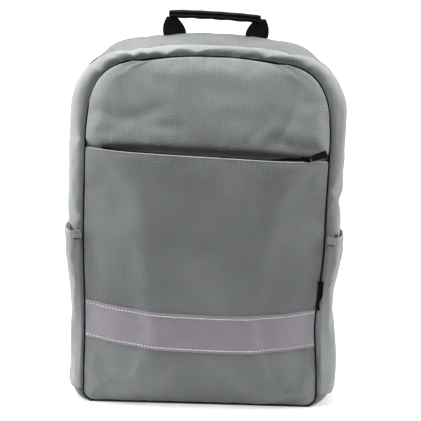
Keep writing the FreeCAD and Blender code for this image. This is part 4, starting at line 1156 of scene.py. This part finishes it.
for side, word in ((-1, "left"), (1, "right")):
    mirror = np.array([side, 1, 1])
    t = np.linspace(0, 1, 60)
    line = strap_line(t)
    root = loft((46, 67.5, 389), line[0], 0, 6)[:-1]
    width = 62 * (0.86 + 0.14 * np.sin(np.pi * t)) * (1 - 0.28 * np.clip((t - 0.6) / 0.4, 0, 1))
    full = np.vstack([root, line]) * mirror
    widths = np.concatenate([np.full(5, width[0]), width])
    thick = np.concatenate([np.linspace(4, 9, 5), 11 - 2.5 * np.clip((t - 0.93) / 0.07, 0, 1)])
    carry = strap("shoulder_pad_" + word, full, (1, 0, 0), widths, thick, [MESH], power=3.0, count=28)
    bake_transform(carry)
    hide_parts("shoulder_strap_" + word)
    for way in (-1, 1):
        edge = full + np.stack([way * (widths / 2 - 0.6), np.zeros_like(widths), np.zeros_like(widths)], axis=1)
        bound = strap("shoulder_binding_%s_%s" % (word, "inner" if way * side < 0 else "outer"), edge, (1, 0, 0),
                      5.0, np.minimum(thick, 6.0), [BINDING], power=2.4, count=10)
        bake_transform(bound)
    loop = strap("lock_loop_webbing_" + word, loft((96, 88.1, 146), (96, 88.1, 125), 1.5, 12) * mirror,
                 (1, 0, 0), 24.0, 2.4, [WEBBING])
    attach(loop, "strap_" + word)
    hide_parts("lock_loop_" + word)
    tail = strap("adjuster_tail_webbing_" + word, loft((96, 91.3, 121), (96, 91.3, 47), 1.2, 24) * mirror,
                 (1, 0, 0), 24.0, 1.7, [WEBBING])
    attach(tail, "ladder_lock_" + word)
    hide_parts("adjuster_tail_" + word)
    sling = strap("adjuster_sling_" + word, loft((126, 66.9, 52), (96, 84.5, 101), -2.0, 26) * mirror,
                  (1, 0, 0), 24.0, 1.7, [WEBBING])
    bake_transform(sling)
    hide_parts("adjuster_webbing_" + word)
    wing_rows = [[(side * x, 65.3, z) for x in np.linspace(139 - 0.3 * (64 - z), 110, 8)]
                 for z in np.linspace(18, 64, 12)]
    wing = sheet_of("corner_wing_" + word, np.array(wing_rows), [SHELL])
    thicken(wing, 1.6, lined=False)
    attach(wing, "pack")
    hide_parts("strap_wing_" + word)

# %% [markdown]
# ## Inside
# A foam divider stands in front of the back panel, and a plastic sheet stiffens the floor.

# %% Divider
divider_rows = []
for z in np.linspace(9, 319, 30):
    x = np.linspace(-133, 133, 30)
    divider_rows.append(np.stack([x, 39 + 0.8 * np.cos(x / 60), np.full_like(x, z)], axis=1))
divider = sheet_of("laptop_sleeve_wall", np.array(divider_rows), [LINING])
thicken(divider, 4.0, lined=False)
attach(divider, "pack")
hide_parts("laptop_divider")

# %% [markdown]
# ## Hard parts that stay as drawn
# Sliders, pulls, ladder locks and the floor sheet have their right shape already, and only need a finish.

# %% Hard parts
def dress(name, material):
    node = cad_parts[name]
    node.data.materials.clear()
    node.data.materials.append(material)


for word in ("left", "right"):
    dress("main_slider_" + word, ZINC)
    dress("main_pull_" + word, RUBBER)
    dress("ladder_lock_" + word, ACETAL)
dress("pocket_slider", ZINC)
dress("pocket_pull", RUBBER)
dress("base_board", POLYETHYLENE)
